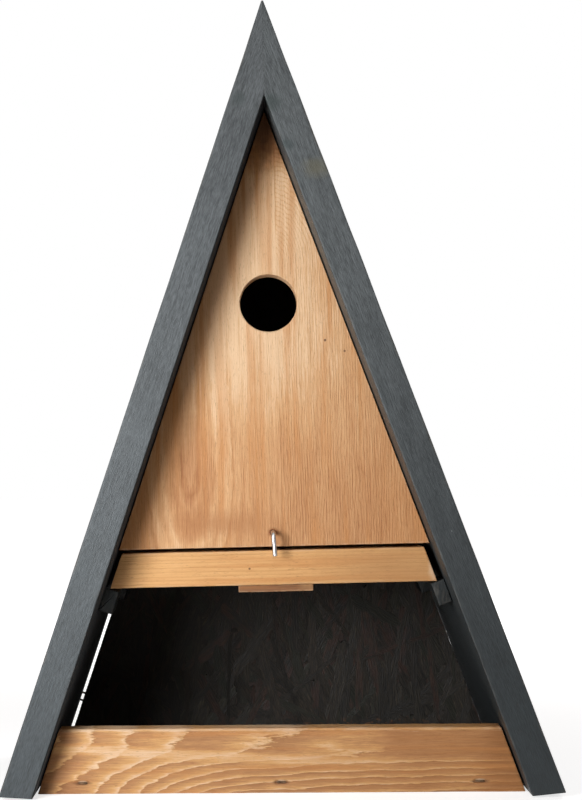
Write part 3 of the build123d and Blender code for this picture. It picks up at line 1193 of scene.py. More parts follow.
@dataclass(frozen=True)
class NestFloor:
    """The loose nest floor, and the small block under its front edge."""

    lines: BoxLines
    drop: float = 2.0
    thickness: float = 19.5
    gap_left: float = 2.8
    gap_right: float = 4.2
    back_play: float = 1.0
    ease: float = 0.8
    grip_w: float = 42.0
    grip_t: float = 4.0
    grip_run: float = 25.0
    grip_setback: float = 3.0
    grip_shift: float = 0.5
    grip_staple_reach: float = 13.0
    grip_staple_bite: float = 10.0

    @property
    def top(self) -> float:
        """The floor's upper face, down the centre line."""
        return self.lines.panel_down + self.drop

    @property
    def low(self) -> float:
        """The floor's lower face, down the centre line."""
        return self.top + self.thickness

    def corner(self, side: Side) -> tuple[float, float]:
        """The floor's lower corner on a side, in x and z."""
        gap = self.gap_left if side is Side.LEFT else self.gap_right
        return self.lines.at(side.value * self.lines.inner_u(self.low, gap), self.low)

    def grip_spots(self) -> list[Spot]:
        """The staples driven up through the block."""
        y = self.lines.panel_y + self.grip_setback + self.grip_run / 2
        leg = self.grip_t + self.grip_staple_bite
        reach = self.grip_staple_reach
        places = (self.grip_shift - reach, self.grip_shift + reach)
        origins = [self.lines.point(u, self.low + self.grip_t, y) for u in places]
        return [Spot(origin, INWARD, self.lines.move(0.0, -1.0), leg) for origin in origins]

    def build(self, floor: bpy.types.Material, grip: bpy.types.Material) -> list[bpy.types.Object]:
        """Makes the floor, its ends sawn to the boards' slope, and its square-ended block.

        Args:
            floor: the floor's wood.
            grip: the block's wood.

        Returns:
            The two pieces.
        """
        lines = self.lines
        depth = lines.back_panel_y - self.back_play - lines.panel_y
        wide, high = stations(depth, 7.0), stations(self.thickness, 1.6)
        board = Board(
            section=Section(depth, self.thickness, (wide, high, wide, high)),
            runs=stations(2 * lines.inner_u(self.low, self.gap_left), 2.5),
            start=Cut(-lines.inner_u(self.top, self.gap_left), by_q=-tan(lines.half)),
            stop=Cut(lines.inner_u(self.top, self.gap_right), by_q=tan(lines.half)),
            lay=self._hung(self.top, lines.panel_y),
            radii=(0.3, 0.3, self.ease, self.ease),
            seed=21,
            torn=0.5,
            end_ease=0.3,
        )
        run, half_w, reach = self.grip_run, self.grip_w / 2, self.grip_staple_reach
        side, under = stations(self.grip_t, 0.8), stations(run, 1.2, [run / 2], 4.5)
        block = Board(
            section=Section(run, self.grip_t, (stations(run, 2.0), side, under, side)),
            runs=stations(self.grip_w, 1.4, [half_w - reach, half_w + reach], 2.5),
            start=Cut(self.grip_shift - half_w),
            stop=Cut(self.grip_shift + half_w),
            lay=self._hung(self.low, lines.panel_y + self.grip_setback),
            radii=(0.15, 0.5, 0.5, 0.15),
            seed=23,
            hollow=0.08,
        )
        return [
            board.skin().piece("nest_floor", "oiled", floor, "floor_pine"),
            block.skin(self.grip_spots()).piece("floor_grip", "oiled", grip, "floor_pine"),
        ]

    def _hung(self, down: float, y: float) -> Lay:
        """A lay level with the floor: along it, inwards and down the centre line."""
        lines = self.lines
        return Lay(lines.point(0.0, down, y), lines.move(1.0, 0.0), INWARD, lines.move(0.0, 1.0))


@dataclass(frozen=True)
class Cleats:
    """The four painted blocks that carry the nest floor's corners."""

    lines: BoxLines
    floor: NestFloor
    thickness: float = 8.0
    height: float = 13.5
    run: float = 28.0
    setback: float = 1.0
    back_gap: float = 1.0
    seat: float = 0.1
    staple_ends: float = 7.0
    staple_leg: float = 18.0

    @property
    def reach(self) -> float:
        """How far a staple is from a cleat's middle."""
        return self.run / 2 - self.staple_ends

    def fronts(self) -> dict[str, float]:
        """Where the front and back cleats start."""
        back = self.lines.back_panel_y - self.back_gap - self.run
        return {"front": self.lines.panel_y + self.setback, "back": back}

    def seat_at(self, side: Side, front: float) -> Array:
        """The middle of a cleat's upper edge on the board's inner face."""
        gap = self.floor.gap_left if side is Side.LEFT else self.floor.gap_right
        x, z = self.floor.corner(side)
        top = np.array([x, front + self.run / 2, z]) + self.lines.outward(side) * gap
        return top + self.lines.run_down(side) * self.seat

    def spots(self, side: Side, front: float) -> list[Spot]:
        """The two staples that hold a cleat."""
        out = self.lines.outward(side)
        face = self.seat_at(side, front) + self.lines.run_down(side) * self.height / 2
        places = [face - out * self.thickness + INWARD * y for y in (-self.reach, self.reach)]
        return [Spot(place, INWARD, out, self.staple_leg) for place in places]

    def build(self, finish: bpy.types.Material) -> list[bpy.types.Object]:
        """Makes the four cleats, each carried from its front to its back.

        Args:
            finish: their paint.

        Returns:
            The pieces.
        """
        made = []
        for side in Side:
            for place, front in self.fronts().items():
                node = f"{side.word}_{place}_cleat"
                skin = self._block(side, front).skin(self.spots(side, front))
                made.append(skin.piece(node, "painted", finish, "grey_paint"))
        return made

    def _block(self, side: Side, front: float) -> Board:
        """One cleat: p runs down the board and q into the box."""
        down, out = self.lines.run_down(side), self.lines.outward(side)
        tall, thick = stations(self.height, 1.6), stations(self.thickness, 1.6)
        face = stations(self.height, 1.6, [self.height / 2], 2.2)
        middles = [self.run / 2 - self.reach, self.run / 2 + self.reach]
        return Board(
            section=Section(self.height, self.thickness, (tall, thick, face, thick)),
            runs=stations(self.run, 1.8, middles, 4.2),
            start=Cut(-self.run / 2),
            stop=Cut(self.run / 2),
            lay=Lay(self.seat_at(side, front), INWARD, down, -out),
            radii=(0.15, 0.5, 0.5, 0.15),
            seed=51 + side.value,
            hollow=0.08,
            end_ease=0.5,
        )


@dataclass(frozen=True)
class StrandMat:
    """Thin wood strands pressed over each other, as the face of strand board shows them."""

    seed: int
    count: int
    lie: float = 0.55
    longest: float = 64.0
    widest: float = 8.5
    deepest: float = 0.3
    body: float = 0.4
    stations: int = 7

    def skin(
        self,
        middles: Callable[[Array, Array], Array],
        place: Callable[[Array, Array, Array], Array],
    ) -> Skin:
        """Shapes every strand as a thin slab with ragged ends and slightly sunken sides.

        With s from -1 to 1 along a strand and c from -1 to 1 across it, a point is the middle +
        (half length s + ragged end s^7) along + half width c (1 - s^8 / 3) across, at a depth
        of lift + tilt c + s^2 / 20; the sides and the under side of the section lie deeper.

        Args:
            middles: turns two arrays of even draws into the strands' middles, in rows of two.
            place: turns places a and b of the face, and the depth, into x, y and z.

        Returns:
            The strands, with each point's place along and across its strand and its number.
        """
        draw = np.random.default_rng(self.seed)
        n = self.count
        middle = middles(draw.uniform(0, 1, n), draw.uniform(0, 1, n))
        angle = draw.normal(pi / 2, self.lie, n)[:, None, None]
        half_l = draw.uniform(0.3, 0.5, n)[:, None, None] * self.longest
        half_w = draw.uniform(0.15, 0.5, n)[:, None, None] * self.widest
        lift = draw.uniform(0.04, self.deepest, n)[:, None, None]
        tilt = draw.uniform(-0.07, 0.07, n)[:, None, None]
        number = np.arange(n, dtype=float)[:, None, None]
        s = np.linspace(-1, 1, self.stations)[None, :, None]
        side = np.array(STRAND_ACROSS)[None, None, :]
        sunk = np.array(STRAND_SUNK)[None, None, :]
        ragged = swell(self.seed + 1, number + 0 * s, side + 0 * s, 1.7, 0.9)
        along = half_l * s + 2.6 * ragged * s**7
        across = half_w * side * (1 - s**8 / 3)
        across = across + 0.5 * swell(self.seed + 2, along, number, 17.0, 3.1)
        depth = np.clip(lift + tilt * side + 0.05 * s * s, 0.03, 0.45) + sunk * self.body
        a = middle[:, 0, None, None] + along * np.cos(angle) - across * np.sin(angle)
        b = middle[:, 1, None, None] + along * np.sin(angle) + across * np.cos(angle)
        cols = side.size
        size = self.stations * cols
        caps = [list(range(cols))[::-1], list(range(size - cols, size))]
        one = grid_faces(self.stations, cols) + caps
        faces = [[corner + size * index for corner in face] for index in range(n) for face in one]
        values = stacked(along, across / half_w, number)
        return Skin(place(a, b, depth).reshape(-1, 3), faces, {}, {"strand": values.reshape(-1, 3)})


@dataclass(frozen=True)
class Bay:
    """The open bay: the sill, the floor behind it and the strand-board back."""

    lines: BoxLines
    sill_h: float = 36.0
    sill_gap: float = 0.9
    sill_ease: float = 2.0
    floor_t: float = 12.0
    floor_fit: float = 0.4
    joint_fit: float = 0.2
    back_gap_left: float = 2.0
    back_gap_right: float = 0.5
    sill_staple_inset: float = 24.0
    staple_leg: float = 35.0
    floor_strands: int = 420
    floor_seed: int = 64
    back_strands: int = 850
    front_seed: int = 73
    rear_seed: int = 74
    strand_inset: float = 0.4
    strand_crease: float = 12.0

    def sill_spots(self) -> list[Spot]:
        """The staples through the sill into the bay floor's edge."""
        z, y = self.floor_t / 2, self.lines.sill_y
        ends = [self.lines.inner_x(side, z) - side.value * self.sill_staple_inset for side in Side]
        places = (ends[0], sum(ends) / 2, ends[1])
        return [Spot(np.array([x, y, z]), RIGHTWARD, INWARD, self.staple_leg) for x in places]

    def build(
        self, sill: bpy.types.Material, strands: bpy.types.Material
    ) -> list[bpy.types.Object]:
        """Makes the three pieces.

        Args:
            sill: the sill's wood.
            strands: the stained strand board.

        Returns:
            The pieces.
        """
        lines, spots = self.lines, self.sill_spots()
        left = float(lines.inner_x(Side.LEFT, 0.0, self.sill_gap))
        thick = stations(lines.sill_t, 2.0)
        high = stations(self.sill_h, 1.6, [self.floor_t / 2], 2.2)
        places = [float(spot.origin[0]) - left for spot in spots]
        board = Board(
            section=Section(
                lines.sill_t, self.sill_h, (thick, stations(self.sill_h, 2.5), thick, high)
            ),
            runs=stations(self._clear(self.sill_gap), 2.4, places, 4.5),
            **self._level(lines.sill_y, self.sill_gap),
            radii=(0.3, self.sill_ease, self.sill_ease, 0.4),
            seed=61,
            wear=0.2,
            torn=0.3,
        )
        return [
            board.skin(spots).piece("sill_board", "oiled", sill, "sill_larch"),
            self._floor(strands),
            self._back(strands),
        ]

    def _clear(self, gap: float) -> float:
        """The length of a board between the side boards at the base, less a gap to each."""
        inner_x = self.lines.inner_x
        return float(inner_x(Side.RIGHT, 0.0, gap) - inner_x(Side.LEFT, 0.0, gap))

    def _level(self, y: float, gap: float) -> dict[str, Cut | Lay]:
        """The lay of a level board, and its ends, which follow the side boards at a gap."""
        cuts = [
            Cut(self.lines.inner_x(side, 0.0, gap), by_q=-side.value * tan(self.lines.slope(side)))
            for side in Side
        ]
        lay = Lay(np.array([0.0, y, 0.0]), RIGHTWARD, INWARD, UPWARD)
        return {"start": cuts[0], "stop": cuts[1], "lay": lay}

    def _floor(self, finish: bpy.types.Material) -> bpy.types.Object:
        """The bay floor: a plain core with strands on its top."""
        start = self.lines.sill_back_y + self.joint_fit
        depth = self.lines.back_panel_y - self.joint_fit - start
        low, high = (
            float(self.lines.inner_x(side, self.floor_t, self.floor_fit))
            - self.strand_inset * side.value
            for side in Side
        )
        wide, thick = stations(depth, 6.0), stations(self.floor_t, 2.0)
        core = Board(
            section=Section(depth, self.floor_t - 0.5, (wide, thick, wide, thick)),
            runs=stations(self._clear(self.floor_fit), 6.0),
            **self._level(start, self.floor_fit),
            radii=(0.4, 0.4, 0.4, 0.4),
            seed=63,
            torn=0.4,
            hollow=0.1,
        )

        def middles(a: Array, b: Array) -> Array:
            """Evenly over the top."""
            return np.stack([low + a * (high - low), start + b * depth], -1)

        def on_top(a: Array, b: Array, sunk: Array) -> Array:
            """A place of the top, kept within its edges."""
            y = np.clip(b, start + 0.3, start + depth - 0.3)
            return stacked(np.clip(a, low, high), y, self.floor_t - sunk)

        mat = StrandMat(self.floor_seed, self.floor_strands)
        skin = joined([core.skin(), mat.skin(middles, on_top)])
        crease = self.strand_crease
        return skin.piece("bay_floor", "stained", finish, "black_strand_board", crease=crease)

    def _back(self, finish: bpy.types.Material) -> bpy.types.Object:
        """The back: a core of level rings that close in to the peak, and strands on both faces.

        A ring's points are left + s (right - left) at its level, with ragged sawn edges.
        """
        lines = self.lines
        left = float(lines.inner_x(Side.LEFT, 0.0, self.back_gap_left))
        right = float(lines.inner_x(Side.RIGHT, 0.0, self.back_gap_right))
        rise_left, rise_right = tan(lines.slope(Side.LEFT)), tan(lines.slope(Side.RIGHT))
        peak = (right - left) / (rise_left + rise_right)

        def edges(z: Array) -> tuple[Array, Array]:
            """Where the sawn edges are at a level."""
            shrink = 1 - z / peak
            rag = [0.22 * shrink * np.abs(swell(seed, z, z * 0, 5.0, 1.0)) for seed in (71, 72)]
            return left + z * rise_left + rag[0], right - z * rise_right - rag[1]

        z = peak * np.linspace(0, 1, 130)[:, None]
        share, edge = np.linspace(0, 1, 14), np.linspace(0, 1, 5)[1:-1]
        s = np.concatenate([share, np.ones(3), share[::-1], np.zeros(3)])
        thick = np.concatenate([0 * share, edge, 0 * share + 1, edge[::-1]])
        low, high = edges(z)
        sunk = 0.5 * (1 - 2 * thick) * (1 - z / peak)
        y = lines.back_panel_y + thick * lines.back_t + sunk
        points = stacked(low + s * (high - low), y, z)
        ring = np.arange(points.shape[1])[::-1].tolist()
        core = Skin(points.reshape(-1, 3), [*grid_faces(*points.shape[:2]), ring])

        def middles(a: Array, b: Array) -> Array:
            """Evenly over the triangle."""
            level = peak * (1 - np.sqrt(1 - a * 0.97))
            low, high = edges(level)
            return np.stack([low + b * (high - low), level], -1)

        def on_face(front: bool) -> Callable[[Array, Array, Array], Array]:
            """Places on the front or back face, kept within the sawn edges."""

            def place(a: Array, b: Array, sunk: Array) -> Array:
                """A place of the face at a depth."""
                level = np.clip(b, 0.3, peak - 3.0)
                low, high = edges(level)
                near = lines.back_panel_y + sunk
                y = near if front else 2 * lines.back_panel_y + lines.back_t - near
                return stacked(np.clip(a, low + 0.1, high - 0.1), y, level)

            return place

        seeds = {True: self.front_seed, False: self.rear_seed}
        faces = [
            StrandMat(seed, self.back_strands).skin(middles, on_face(front))
            for front, seed in seeds.items()
        ]
        skin, crease = joined([core, *faces]), self.strand_crease
        return skin.piece("back_panel", "strands", finish, "black_strand_board", crease=crease)


def bent_line(corners: Array, radius: float, step: float) -> Array:
    """A line through corners in a plane, with each corner turned on an arc.

    An arc of turn a from s to e about its centre is (s sin((1 - t) a) + e sin(t a)) / sin(a).
    The straight runs are then divided by length.

    Args:
        corners: the corners, in rows of two.
        radius: the arcs' radius.
        step: the longest distance between points on a straight run.

    Returns:
        The line's points, in rows of two.
    """
    parts = [corners[:1]]
    for before, here, after in zip(corners[:-2], corners[1:-1], corners[2:]):
        a = (before - here) / np.linalg.norm(before - here)
        b = (after - here) / np.linalg.norm(after - here)
        half = np.arccos(np.clip(a @ b, -1, 1)) / 2
        centre = here + (a + b) / np.linalg.norm(a + b) * radius / sin(half)
        start = here + a * radius / tan(half) - centre
        stop = here + b * radius / tan(half) - centre
        turn = pi - 2 * half
        t = np.linspace(0, 1, 9)[:, None]
        swing = start * np.sin((1 - t) * turn) + stop * np.sin(t * turn)
        parts.append(centre + swing / sin(turn))
    line = np.concatenate([*parts, corners[-1:]])
    gone = travelled(line)
    places = np.unique(np.concatenate([gone, np.arange(0, gone[-1], step)]))
    places = places[np.append(True, np.diff(places) > 1e-4)]
    return np.stack([np.interp(places, gone, line[:, axis]) for axis in (0, 1)], -1)


def wire_skin(
    line: Array, radius: Array, origin: Array, first: Array, second: Array, power: float = 2.0
) -> Skin:
    """A wire carried along a line in a plane, closed by a pole at each end.

    A point is centre + r (cos t n + sin t m), where n is the plane's normal and m the line's
    normal in the plane; r = radius / (|cos t|^k + |sin t|^k)^(1/k) is round for k = 2 and
    nearly square for larger k.

    Args:
        line: the centre line, in rows of two.
        radius: the wire's radius at each point of the line and round it.
        origin: where the plane's zero is.
        first: the plane's first direction.
        second: its second direction.
        power: k.

    Returns:
        The skin.
    """
    cols = radius.shape[1]
    t = np.arange(cols) * 2 * pi / cols
    along = np.gradient(line, axis=0)
    along = along / np.maximum(np.linalg.norm(along, axis=1, keepdims=True), 1e-9)
    r = radius / (np.abs(np.cos(t)) ** power + np.abs(np.sin(t)) ** power) ** (1 / power)
    beside = -along[:, 1:] * first + along[:, :1] * second
    centre = origin + line[:, :1] * first + line[:, 1:] * second
    around = np.cos(t)[:, None] * np.cross(first, second)
    points = centre[:, None] + r[..., None] * (around[None] + np.sin(t)[:, None] * beside[:, None])
    poles = np.repeat(centre[[0, -1], None], cols, 1)
    points = np.concatenate([poles[:1], points, poles[1:]])
    return Skin(points.reshape(-1, 3), grid_faces(len(points), cols))


@dataclass(frozen=True)
class Latch:
    """The square-bend screw hook that locks the nest floor, with its thread in the panel."""

    lines: BoxLines
    wire: float = 2.6
    bend: float = 2.8
    stand: float = 10.0
    leg: float = 13.0
    screw: float = 14.0
    point: float = 3.0
    thread: float = 1.1
    tip_round: float = 0.45
    thread_depth: float = 0.22
    lean_angle: float = 4.5
    step: float = 0.22
    around: int = 20

    def build(self, finish: bpy.types.Material) -> list[bpy.types.Object]:
        """Carries the wire from its point, out of the panel, and down in front of the floor.

        In the thread the radius drops to the core and rises once a turn: core + ridge times
        (1 + cos(distance / pitch - turn)) / 2, cubed so that the ridge is narrow.

        Args:
            finish: the zinc wire.

        Returns:
            The piece.
        """
        corners = np.array([[self.screw, 0.0], [-self.stand, 0.0], [-self.stand, -self.leg]])
        line = bent_line(corners, self.bend, self.step)
        gone = travelled(line)[:, None]
        turn = np.arange(self.around)[None, :] * 2 * pi / self.around
        full = self.wire / 2
        core = full * (1 - self.thread_depth)
        ridge = ((1 + np.cos(2 * pi * gone / self.thread - turn)) / 2) ** 3
        blend = np.clip((gone - self.screw + 1.6) / 1.2, 0, 1)
        radius = (core + (full - core) * ridge) * (1 - blend) + full * blend
        radius = radius * np.clip(gone / self.point, 0.12, 1)
        short = np.clip(self.tip_round - (gone[-1] - gone), 0, None)
        radius = radius - (self.tip_round - np.sqrt(self.tip_round**2 - short**2))
        lines = self.lines
        root = lines.point(lines.hook_shift, lines.panel_down - lines.hook_up, lines.panel_y)
        tilt = radians(self.lean_angle)
        hang = np.array([-sin(tilt), 0.0, cos(tilt)])
        skin = wire_skin(line, radius, root, INWARD, hang)
        return [skin.piece("latch_hook", "zinc", finish, "zinc_wire", HOOK_BODY)]


@dataclass(frozen=True)
class Staples:
    """The wire staples: a crown of 6 mm and two legs with chisel points."""

    lines: BoxLines
    floor: NestFloor
    cleats: Cleats
    bay: Bay
    crown: float = 6.0
    wire: float = 1.2
    sink: float = 0.2
    leg: float = 35.0
    back_first: float = 36.0
    back_step: float = 124.0
    back_headroom: float = 75.0
    panel_first: float = 30.0
    panel_step: float = 75.0
    panel_count: int = 2
    floor_ends: float = 32.0
    floor_drop: float = 2.5
    bend: float = 0.7
    step: float = 4.0
    around: int = 12
    squareness: float = 5.0
    chisel: float = 2.0
    chisel_end: float = 0.25

    def _in_board(self, side: Side, z: float, y: float, level: bool = False) -> Spot:
        """A staple through a side board, at the level z of its inner face."""
        out = self.lines.outward(side)
        inner = np.array([float(self.lines.inner_x(side, z)), y, z])
        crown = INWARD if level else self.lines.run_down(side)
        return Spot(inner + out * self.lines.board_t, crown, -out, self.leg)

    def back_spots(self, side: Side) -> list[Spot]:
        """The staples into the back panel's edge."""
        top = self.lines.at(0.0, self.lines.board_t / sin(self.lines.half))[1]
        levels = np.arange(self.back_first, top - self.back_headroom, self.back_step)
        y = self.lines.depth / 2 - self.lines.back_t / 2
        return [self._in_board(side, float(z), y) for z in levels]

    def panel_spots(self, side: Side) -> list[Spot]:
        """The staples into the front panel's edge, counted up from its lower corner."""
        lines = self.lines
        corner = lines.at(side.value * lines.inner_u(lines.panel_down), lines.panel_down)[1]
        levels = corner + self.panel_first + np.arange(self.panel_count) * self.panel_step
        y = lines.panel_y + lines.panel_t / 2
        return [self._in_board(side, float(z), y) for z in levels]

    def floor_spots(self, side: Side) -> list[Spot]:
        """The staples into the bay floor's edge."""
        lines, z = self.lines, self.bay.floor_t - self.floor_drop
        places = (lines.sill_back_y + self.floor_ends, lines.back_panel_y - self.floor_ends)
        return [self._in_board(side, z, y, level=True) for y in places]

    def board_spots(self) -> dict[Side, list[Spot]]:
        """Every staple in each side board's outer face."""
        return {
            side: self.back_spots(side) + self.panel_spots(side) + self.floor_spots(side)
            for side in Side
        }

    def groups(self) -> dict[str, list[Spot]]:
        """The staples of each node."""
        found = {"sill": self.bay.sill_spots(), "grip": self.floor.grip_spots()}
        for side in Side:
            found[side.word + "_back"] = self.back_spots(side)
            found[side.word + "_panel"] = self.panel_spots(side)
            found[side.word + "_floor"] = self.floor_spots(side)
            found[side.word + "_cleat"] = [
                spot
                for front in self.cleats.fronts().values()
                for spot in self.cleats.spots(side, front)
            ]
        return found

    def build(self, finish: bpy.types.Material) -> list[bpy.types.Object]:
        """Bends every staple and gathers those of a node in one piece.

        Args:
            finish: the staples' wire.

        Returns:
            The pieces.
        """
        return [
            joined([self._staple(spot) for spot in spots]).piece(
                place + "_staples", "wire", finish, "staple_wire"
            )
            for place, spots in self.groups().items()
        ]

    def _staple(self, spot: Spot) -> Skin:
        """One staple: up a leg, along the crown and down the other leg."""
        half = (self.crown - self.wire) / 2
        top = self.sink + self.wire / 2
        corners = np.array([[-half, spot.leg], [-half, top], [half, top], [half, spot.leg]])
        line = bent_line(corners, self.bend, self.step)
        gone = travelled(line)
        from_tip = np.minimum(gone, gone[-1] - gone)[:, None]
        share = np.clip(self.chisel_end + from_tip / self.chisel, 0, 1)
        radius = self.wire / 2 * share * np.ones((1, self.around))
        return wire_skin(line, radius, spot.origin, spot.crown, spot.drive, self.squareness)


@dataclass(frozen=True)
class Lamp:
    """A rectangular lamp that faces a target and hides from the camera."""

    name: str
    place: Colour
    target: Colour
    size: tuple[float, float]
    power: float

    def hang(self) -> None:
        """Makes the lamp."""
        data = bpy.data.lights.new(self.name, "AREA")
        data.shape = "RECTANGLE"
        data.size, data.size_y = self.size[0] * MM, self.size[1] * MM
        data.energy = self.power
        lamp = bpy.data.objects.new(self.name, data)
        lamp.location = Vector(self.place) * MM
        aim = Vector(self.target) - Vector(self.place)
        lamp.rotation_euler = aim.to_track_quat("-Z", "Y").to_euler()
        lamp.visible_camera = False
        bpy.context.scene.collection.objects.link(lamp)


@dataclass(frozen=True)
class Studio:
    """A pale floor, an even surround, one soft key lamp and weak lamps above and behind."""

    camera_at: Colour = (-19.07, -1127.9, 182.17)
    roll: float = 0.342
    lens: float = 85.94
    shift: tuple[float, float] = (0.0571, 0.0805)
    ambient: Colour = (0.065, 0.044, 0.032)
    lamps: tuple[Lamp, ...] = (
        Lamp("key_lamp", (-288.0, -505.0, 200.0), (0.0, -58.0, 200.0), (200.0, 220.0), 2.9),
        Lamp("top_lamp", (-120.0, -900.0, 900.0), (0.0, -60.0, 150.0), (500.0, 400.0), 1.4),
        Lamp("rear_lamp", (900.0, 1300.0, 1000.0), (0.0, 0.0, 200.0), (900.0, 900.0), 16.0),
    )

    def set_up(self) -> None:
        """Makes the camera, lamps, floor and surround."""
        bpy.context.scene.view_settings.view_transform = "Standard"
        self._camera()
        for lamp in self.lamps:
            lamp.hang()
        self._floor()
        self._world()

    def _camera(self) -> None:
        """The camera, where the photographer stood."""
        data = bpy.data.cameras.new("camera")
        data.sensor_width = 36.0
        data.lens = self.lens
        data.shift_x, data.shift_y = self.shift
        data.dof.use_dof = False
        data.clip_start, data.clip_end = 0.05, 50.0
        camera = bpy.data.objects.new("camera", data)
        camera.location = Vector(self.camera_at) * MM
        camera.rotation_euler = (pi / 2, radians(self.roll), 0.0)
        bpy.context.scene.collection.objects.link(camera)
        bpy.context.scene.camera = camera

    def _floor(self) -> None:
        """A wide round floor, white where the camera or a reflection sees it lit."""
        rings = np.array([0.0, 400.0, 1200.0, 4000.0, 9000.0])[:, None]
        turn = np.linspace(0, 2 * pi, 48, endpoint=False)[None, :]
        points = stacked(rings * np.cos(turn), rings * np.sin(turn), np.zeros_like(rings))
        bench = Bench(bpy.data.materials.new("floor_pale"))
        x, y, _ = bench.axes(bench.lengths())
        camera, mirrored = bench.seen()
        glow = camera + mirrored * y.span(-420.0, -130.0, 0.12, 1.0)
        glow = glow * bench.reach(x, y).span(260.0, 1100.0, 0.71, 1.0)
        bench.shade(Base_Color=(0.62, 0.62, 0.62), Roughness=0.9, Specular_IOR_Level=0.0)
        bench.shade(Emission_Color=WHITE, Emission_Strength=glow)
        skin = Skin(points.reshape(-1, 3), grid_faces(len(rings), turn.shape[1]))
        skin.object("floor", bench.owner, CREASE)

    def _world(self) -> None:
        """White to the camera, a grey front to the object's gloss, and a dim fill otherwise."""
        bench = Bench(bpy.data.worlds.new("studio"))
        camera, mirrored = bench.seen()
        way = bench.node("ShaderNodeTexCoord", {}).outputs["Generated"]
        _, back, up = bench.axes(way)
        before = up.span(-0.05, 0.25, 0.10, 0.55, "LINEAR")
        colour = bench.mix(mirrored, self.ambient, bench.grey(back.span(-0.7, 0.3, before)))
        bench.shade(Color=bench.mix(camera, colour, WHITE))
        bpy.context.scene.world = bench.owner


def slate(lines: BoxLines) -> tuple[dict[Side, bpy.types.Material], bpy.types.Material]:
    """The two boards' paint, stained near the ridge, the right board's foot darkened as painted
    shade, and the cleats' coat, darkened as painted shade.
    """
    stains = (
        Mark((-4.2, -90.0, 378.5), (5.5, 8.0, 4.6), (0.022, 0.034, 0.031), 0.62, 0.5),
        Mark((4.4, -90.0, 356.0), (4.2, 6.0, 2.6), (0.024, 0.038, 0.038), 0.6, 0.5),
        Mark((20.8, -90.0, 343.3), (6.5, 8.0, 4.5), (0.135, 0.122, 0.072), 0.5, 0.8),
        Mark((0.6, -90.0, 352.0), (1.0, 4.0, 3.0), (0.22, 0.21, 0.17), 0.45, 0.8),
        Mark((-10.5, -90.0, 434.0), (3.0, 20.0, 5.0), (0.020, 0.020, 0.018), 0.8, 0.8),
    )
    spill = Mark((-21.5, -90.0, 381.0), (3.4, 8.0, 3.6), (0.024, 0.036, 0.033), 0.5, 0.6)
    left = SlatePaint("slate_paint_left", -lines.slope(Side.LEFT), marks=(spill,))
    # Painted shade: the right board's low, its foot colour, is far darker than the left's, as the
    # lamp is on the left.
    turn, low, high = lines.slope(Side.RIGHT), (0.010, 0.0135, 0.015), (0.078, 0.087, 0.091)
    right = SlatePaint("slate_paint_right", turn, low, high, stains, None)
    # Painted shade: the cleats carry the boards' grey paint, darkened to near black because they
    # sit in shade under the nest floor.
    dark = (0.012, 0.014, 0.014)
    cleats = SlatePaint("slate_paint_cleats", 0.0, dark, dark, (), None, 0.35)
    return {Side.LEFT: left.material(), Side.RIGHT: right.material()}, cleats.material()


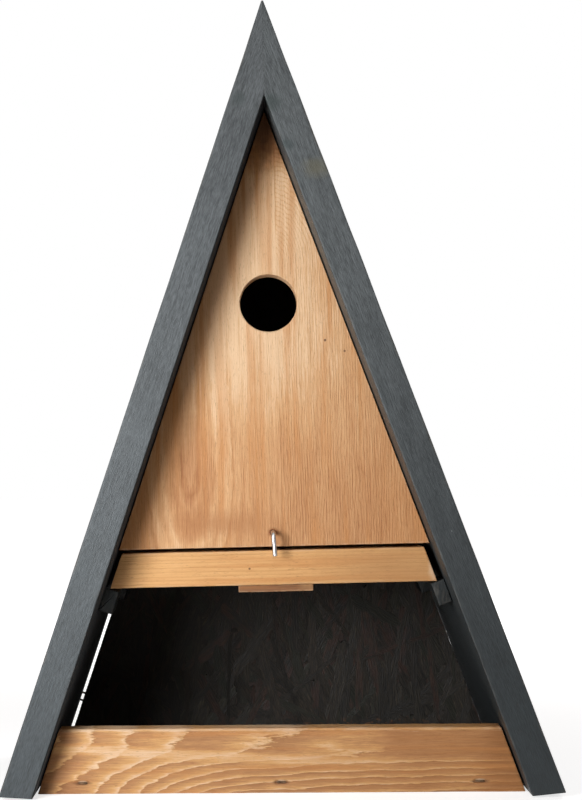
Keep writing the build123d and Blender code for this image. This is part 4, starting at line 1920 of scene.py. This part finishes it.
def softwood(lines: BoxLines) -> dict[Stock, bpy.types.Material]:
    """The oiled boards' wood, each from its own stock."""
    dot = (0.10, 0.04, 0.02)
    torn = (0.80, 0.60, 0.42)
    panel = OiledSoftwood(
        Stock.PANEL,
        lines,
        (0.37, 0.145, 0.05),
        (0.565, 0.288, 0.126),
        (0.67, 0.388, 0.19),
        (0.80, 0.55, 0.335),
        (
            Mark((26.0, -58.0, 251.5), (0.7, 0.7, 0.7), dot, 0.8, 0.3),
            Mark((37.0, -58.0, 245.4), (0.6, 0.6, 0.6), dot, 0.8, 0.3),
            Mark((-32.0, -58.0, 149.0), (24.0, 20.0, 6.0), (0.42, 0.185, 0.07), 0.6, 0.8),
            Mark((-50.0, -58.0, 186.0), (6.0, 20.0, 26.0), (0.36, 0.15, 0.06), 0.4, 0.9),
            # Painted shade: a dark patch at the apex, under the ridge.
            Mark((-9.0, -58.0, 378.0), (11.0, 20.0, 24.0), (0.11, 0.045, 0.018), 0.85, 0.7),
            Mark((-4.0, -58.0, 144.0), (2.6, 6.0, 2.4), (0.28, 0.10, 0.035), 0.85, 0.4),
        ),
        fibre=0.62,
    )
    floor = OiledSoftwood(
        Stock.FLOOR,
        lines,
        (0.45, 0.21, 0.065),
        (0.63, 0.335, 0.13),
        (0.72, 0.405, 0.165),
        (0.78, 0.49, 0.25),
        (
            Mark((-17.0, -58.0, 123.7), (0.6, 0.6, 0.6), dot, 0.8, 0.3),
            Mark((66.0, -58.0, 123.0), (34.0, 20.0, 14.0), (0.42, 0.21, 0.085), 0.5, 0.9),
            Mark((86.0, -58.0, 123.0), (2.5, 20.0, 6.0), torn, 0.5, 0.6),
        ),
        fibre=0.42,
    )
    grip = OiledSoftwood(
        Stock.GRIP,
        lines,
        (0.14, 0.056, 0.022),
        (0.205, 0.09, 0.037),
        (0.26, 0.12, 0.052),
        (0.36, 0.20, 0.10),
        (Mark((17.0, -52.0, 118.0), (6.0, 20.0, 6.0), (0.50, 0.29, 0.125), 0.6, 0.8),),
        wear=0.3,
    )
    sill = OiledSoftwood(
        Stock.SILL,
        lines,
        (0.30, 0.130, 0.050),
        (0.47, 0.235, 0.10),
        (0.68, 0.38, 0.15),
        (0.82, 0.58, 0.37),
        tuple(
            Mark((x, -70.0, 6.0 + lift), sizes, colour, 0.8, 0.5)
            for x in (-110.5, -0.3, 109.9)
            for lift, sizes, colour in ((0.0, (4.4, 6.0, 0.9), dot), (0.9, (2.2, 6.0, 0.5), torn))
        ),
    )
    return {wood.stock: wood.material() for wood in (panel, floor, grip, sill)}


def main() -> None:
    """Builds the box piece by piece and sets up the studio."""
    logging.basicConfig(level=logging.INFO, format="%(name)s: %(message)s")
    lines = BoxLines()
    floor = NestFloor(lines)
    cleats = Cleats(lines, floor)
    bay = Bay(lines)
    staples = Staples(lines, floor, cleats, bay)
    paint, cleat_paint_shaded = slate(lines)
    wood = softwood(lines)
    strands = StrandBoard().material()
    zinc = Wire("zinc_wire_bright", (0.80, 0.80, 0.81), (0.55, 0.55, 0.56), 0.18).material()
    steel = Wire("staple_wire_dull", (0.20, 0.13, 0.08), (0.07, 0.04, 0.025), 0.5).material()
    made = [
        *SideBoards(lines).build(paint, staples.board_spots()),
        *FrontPanel(lines).build(wood[Stock.PANEL]),
        *floor.build(wood[Stock.FLOOR], wood[Stock.GRIP]),
        *cleats.build(cleat_paint_shaded),
        *bay.build(wood[Stock.SILL], strands),
        *Latch(lines).build(zinc),
        *staples.build(steel),
    ]
    for piece in made:
        log.info("%s: %d faces", piece.name, len(piece.data.polygons))
    Studio().set_up()


if __name__ == "__main__":
    main()
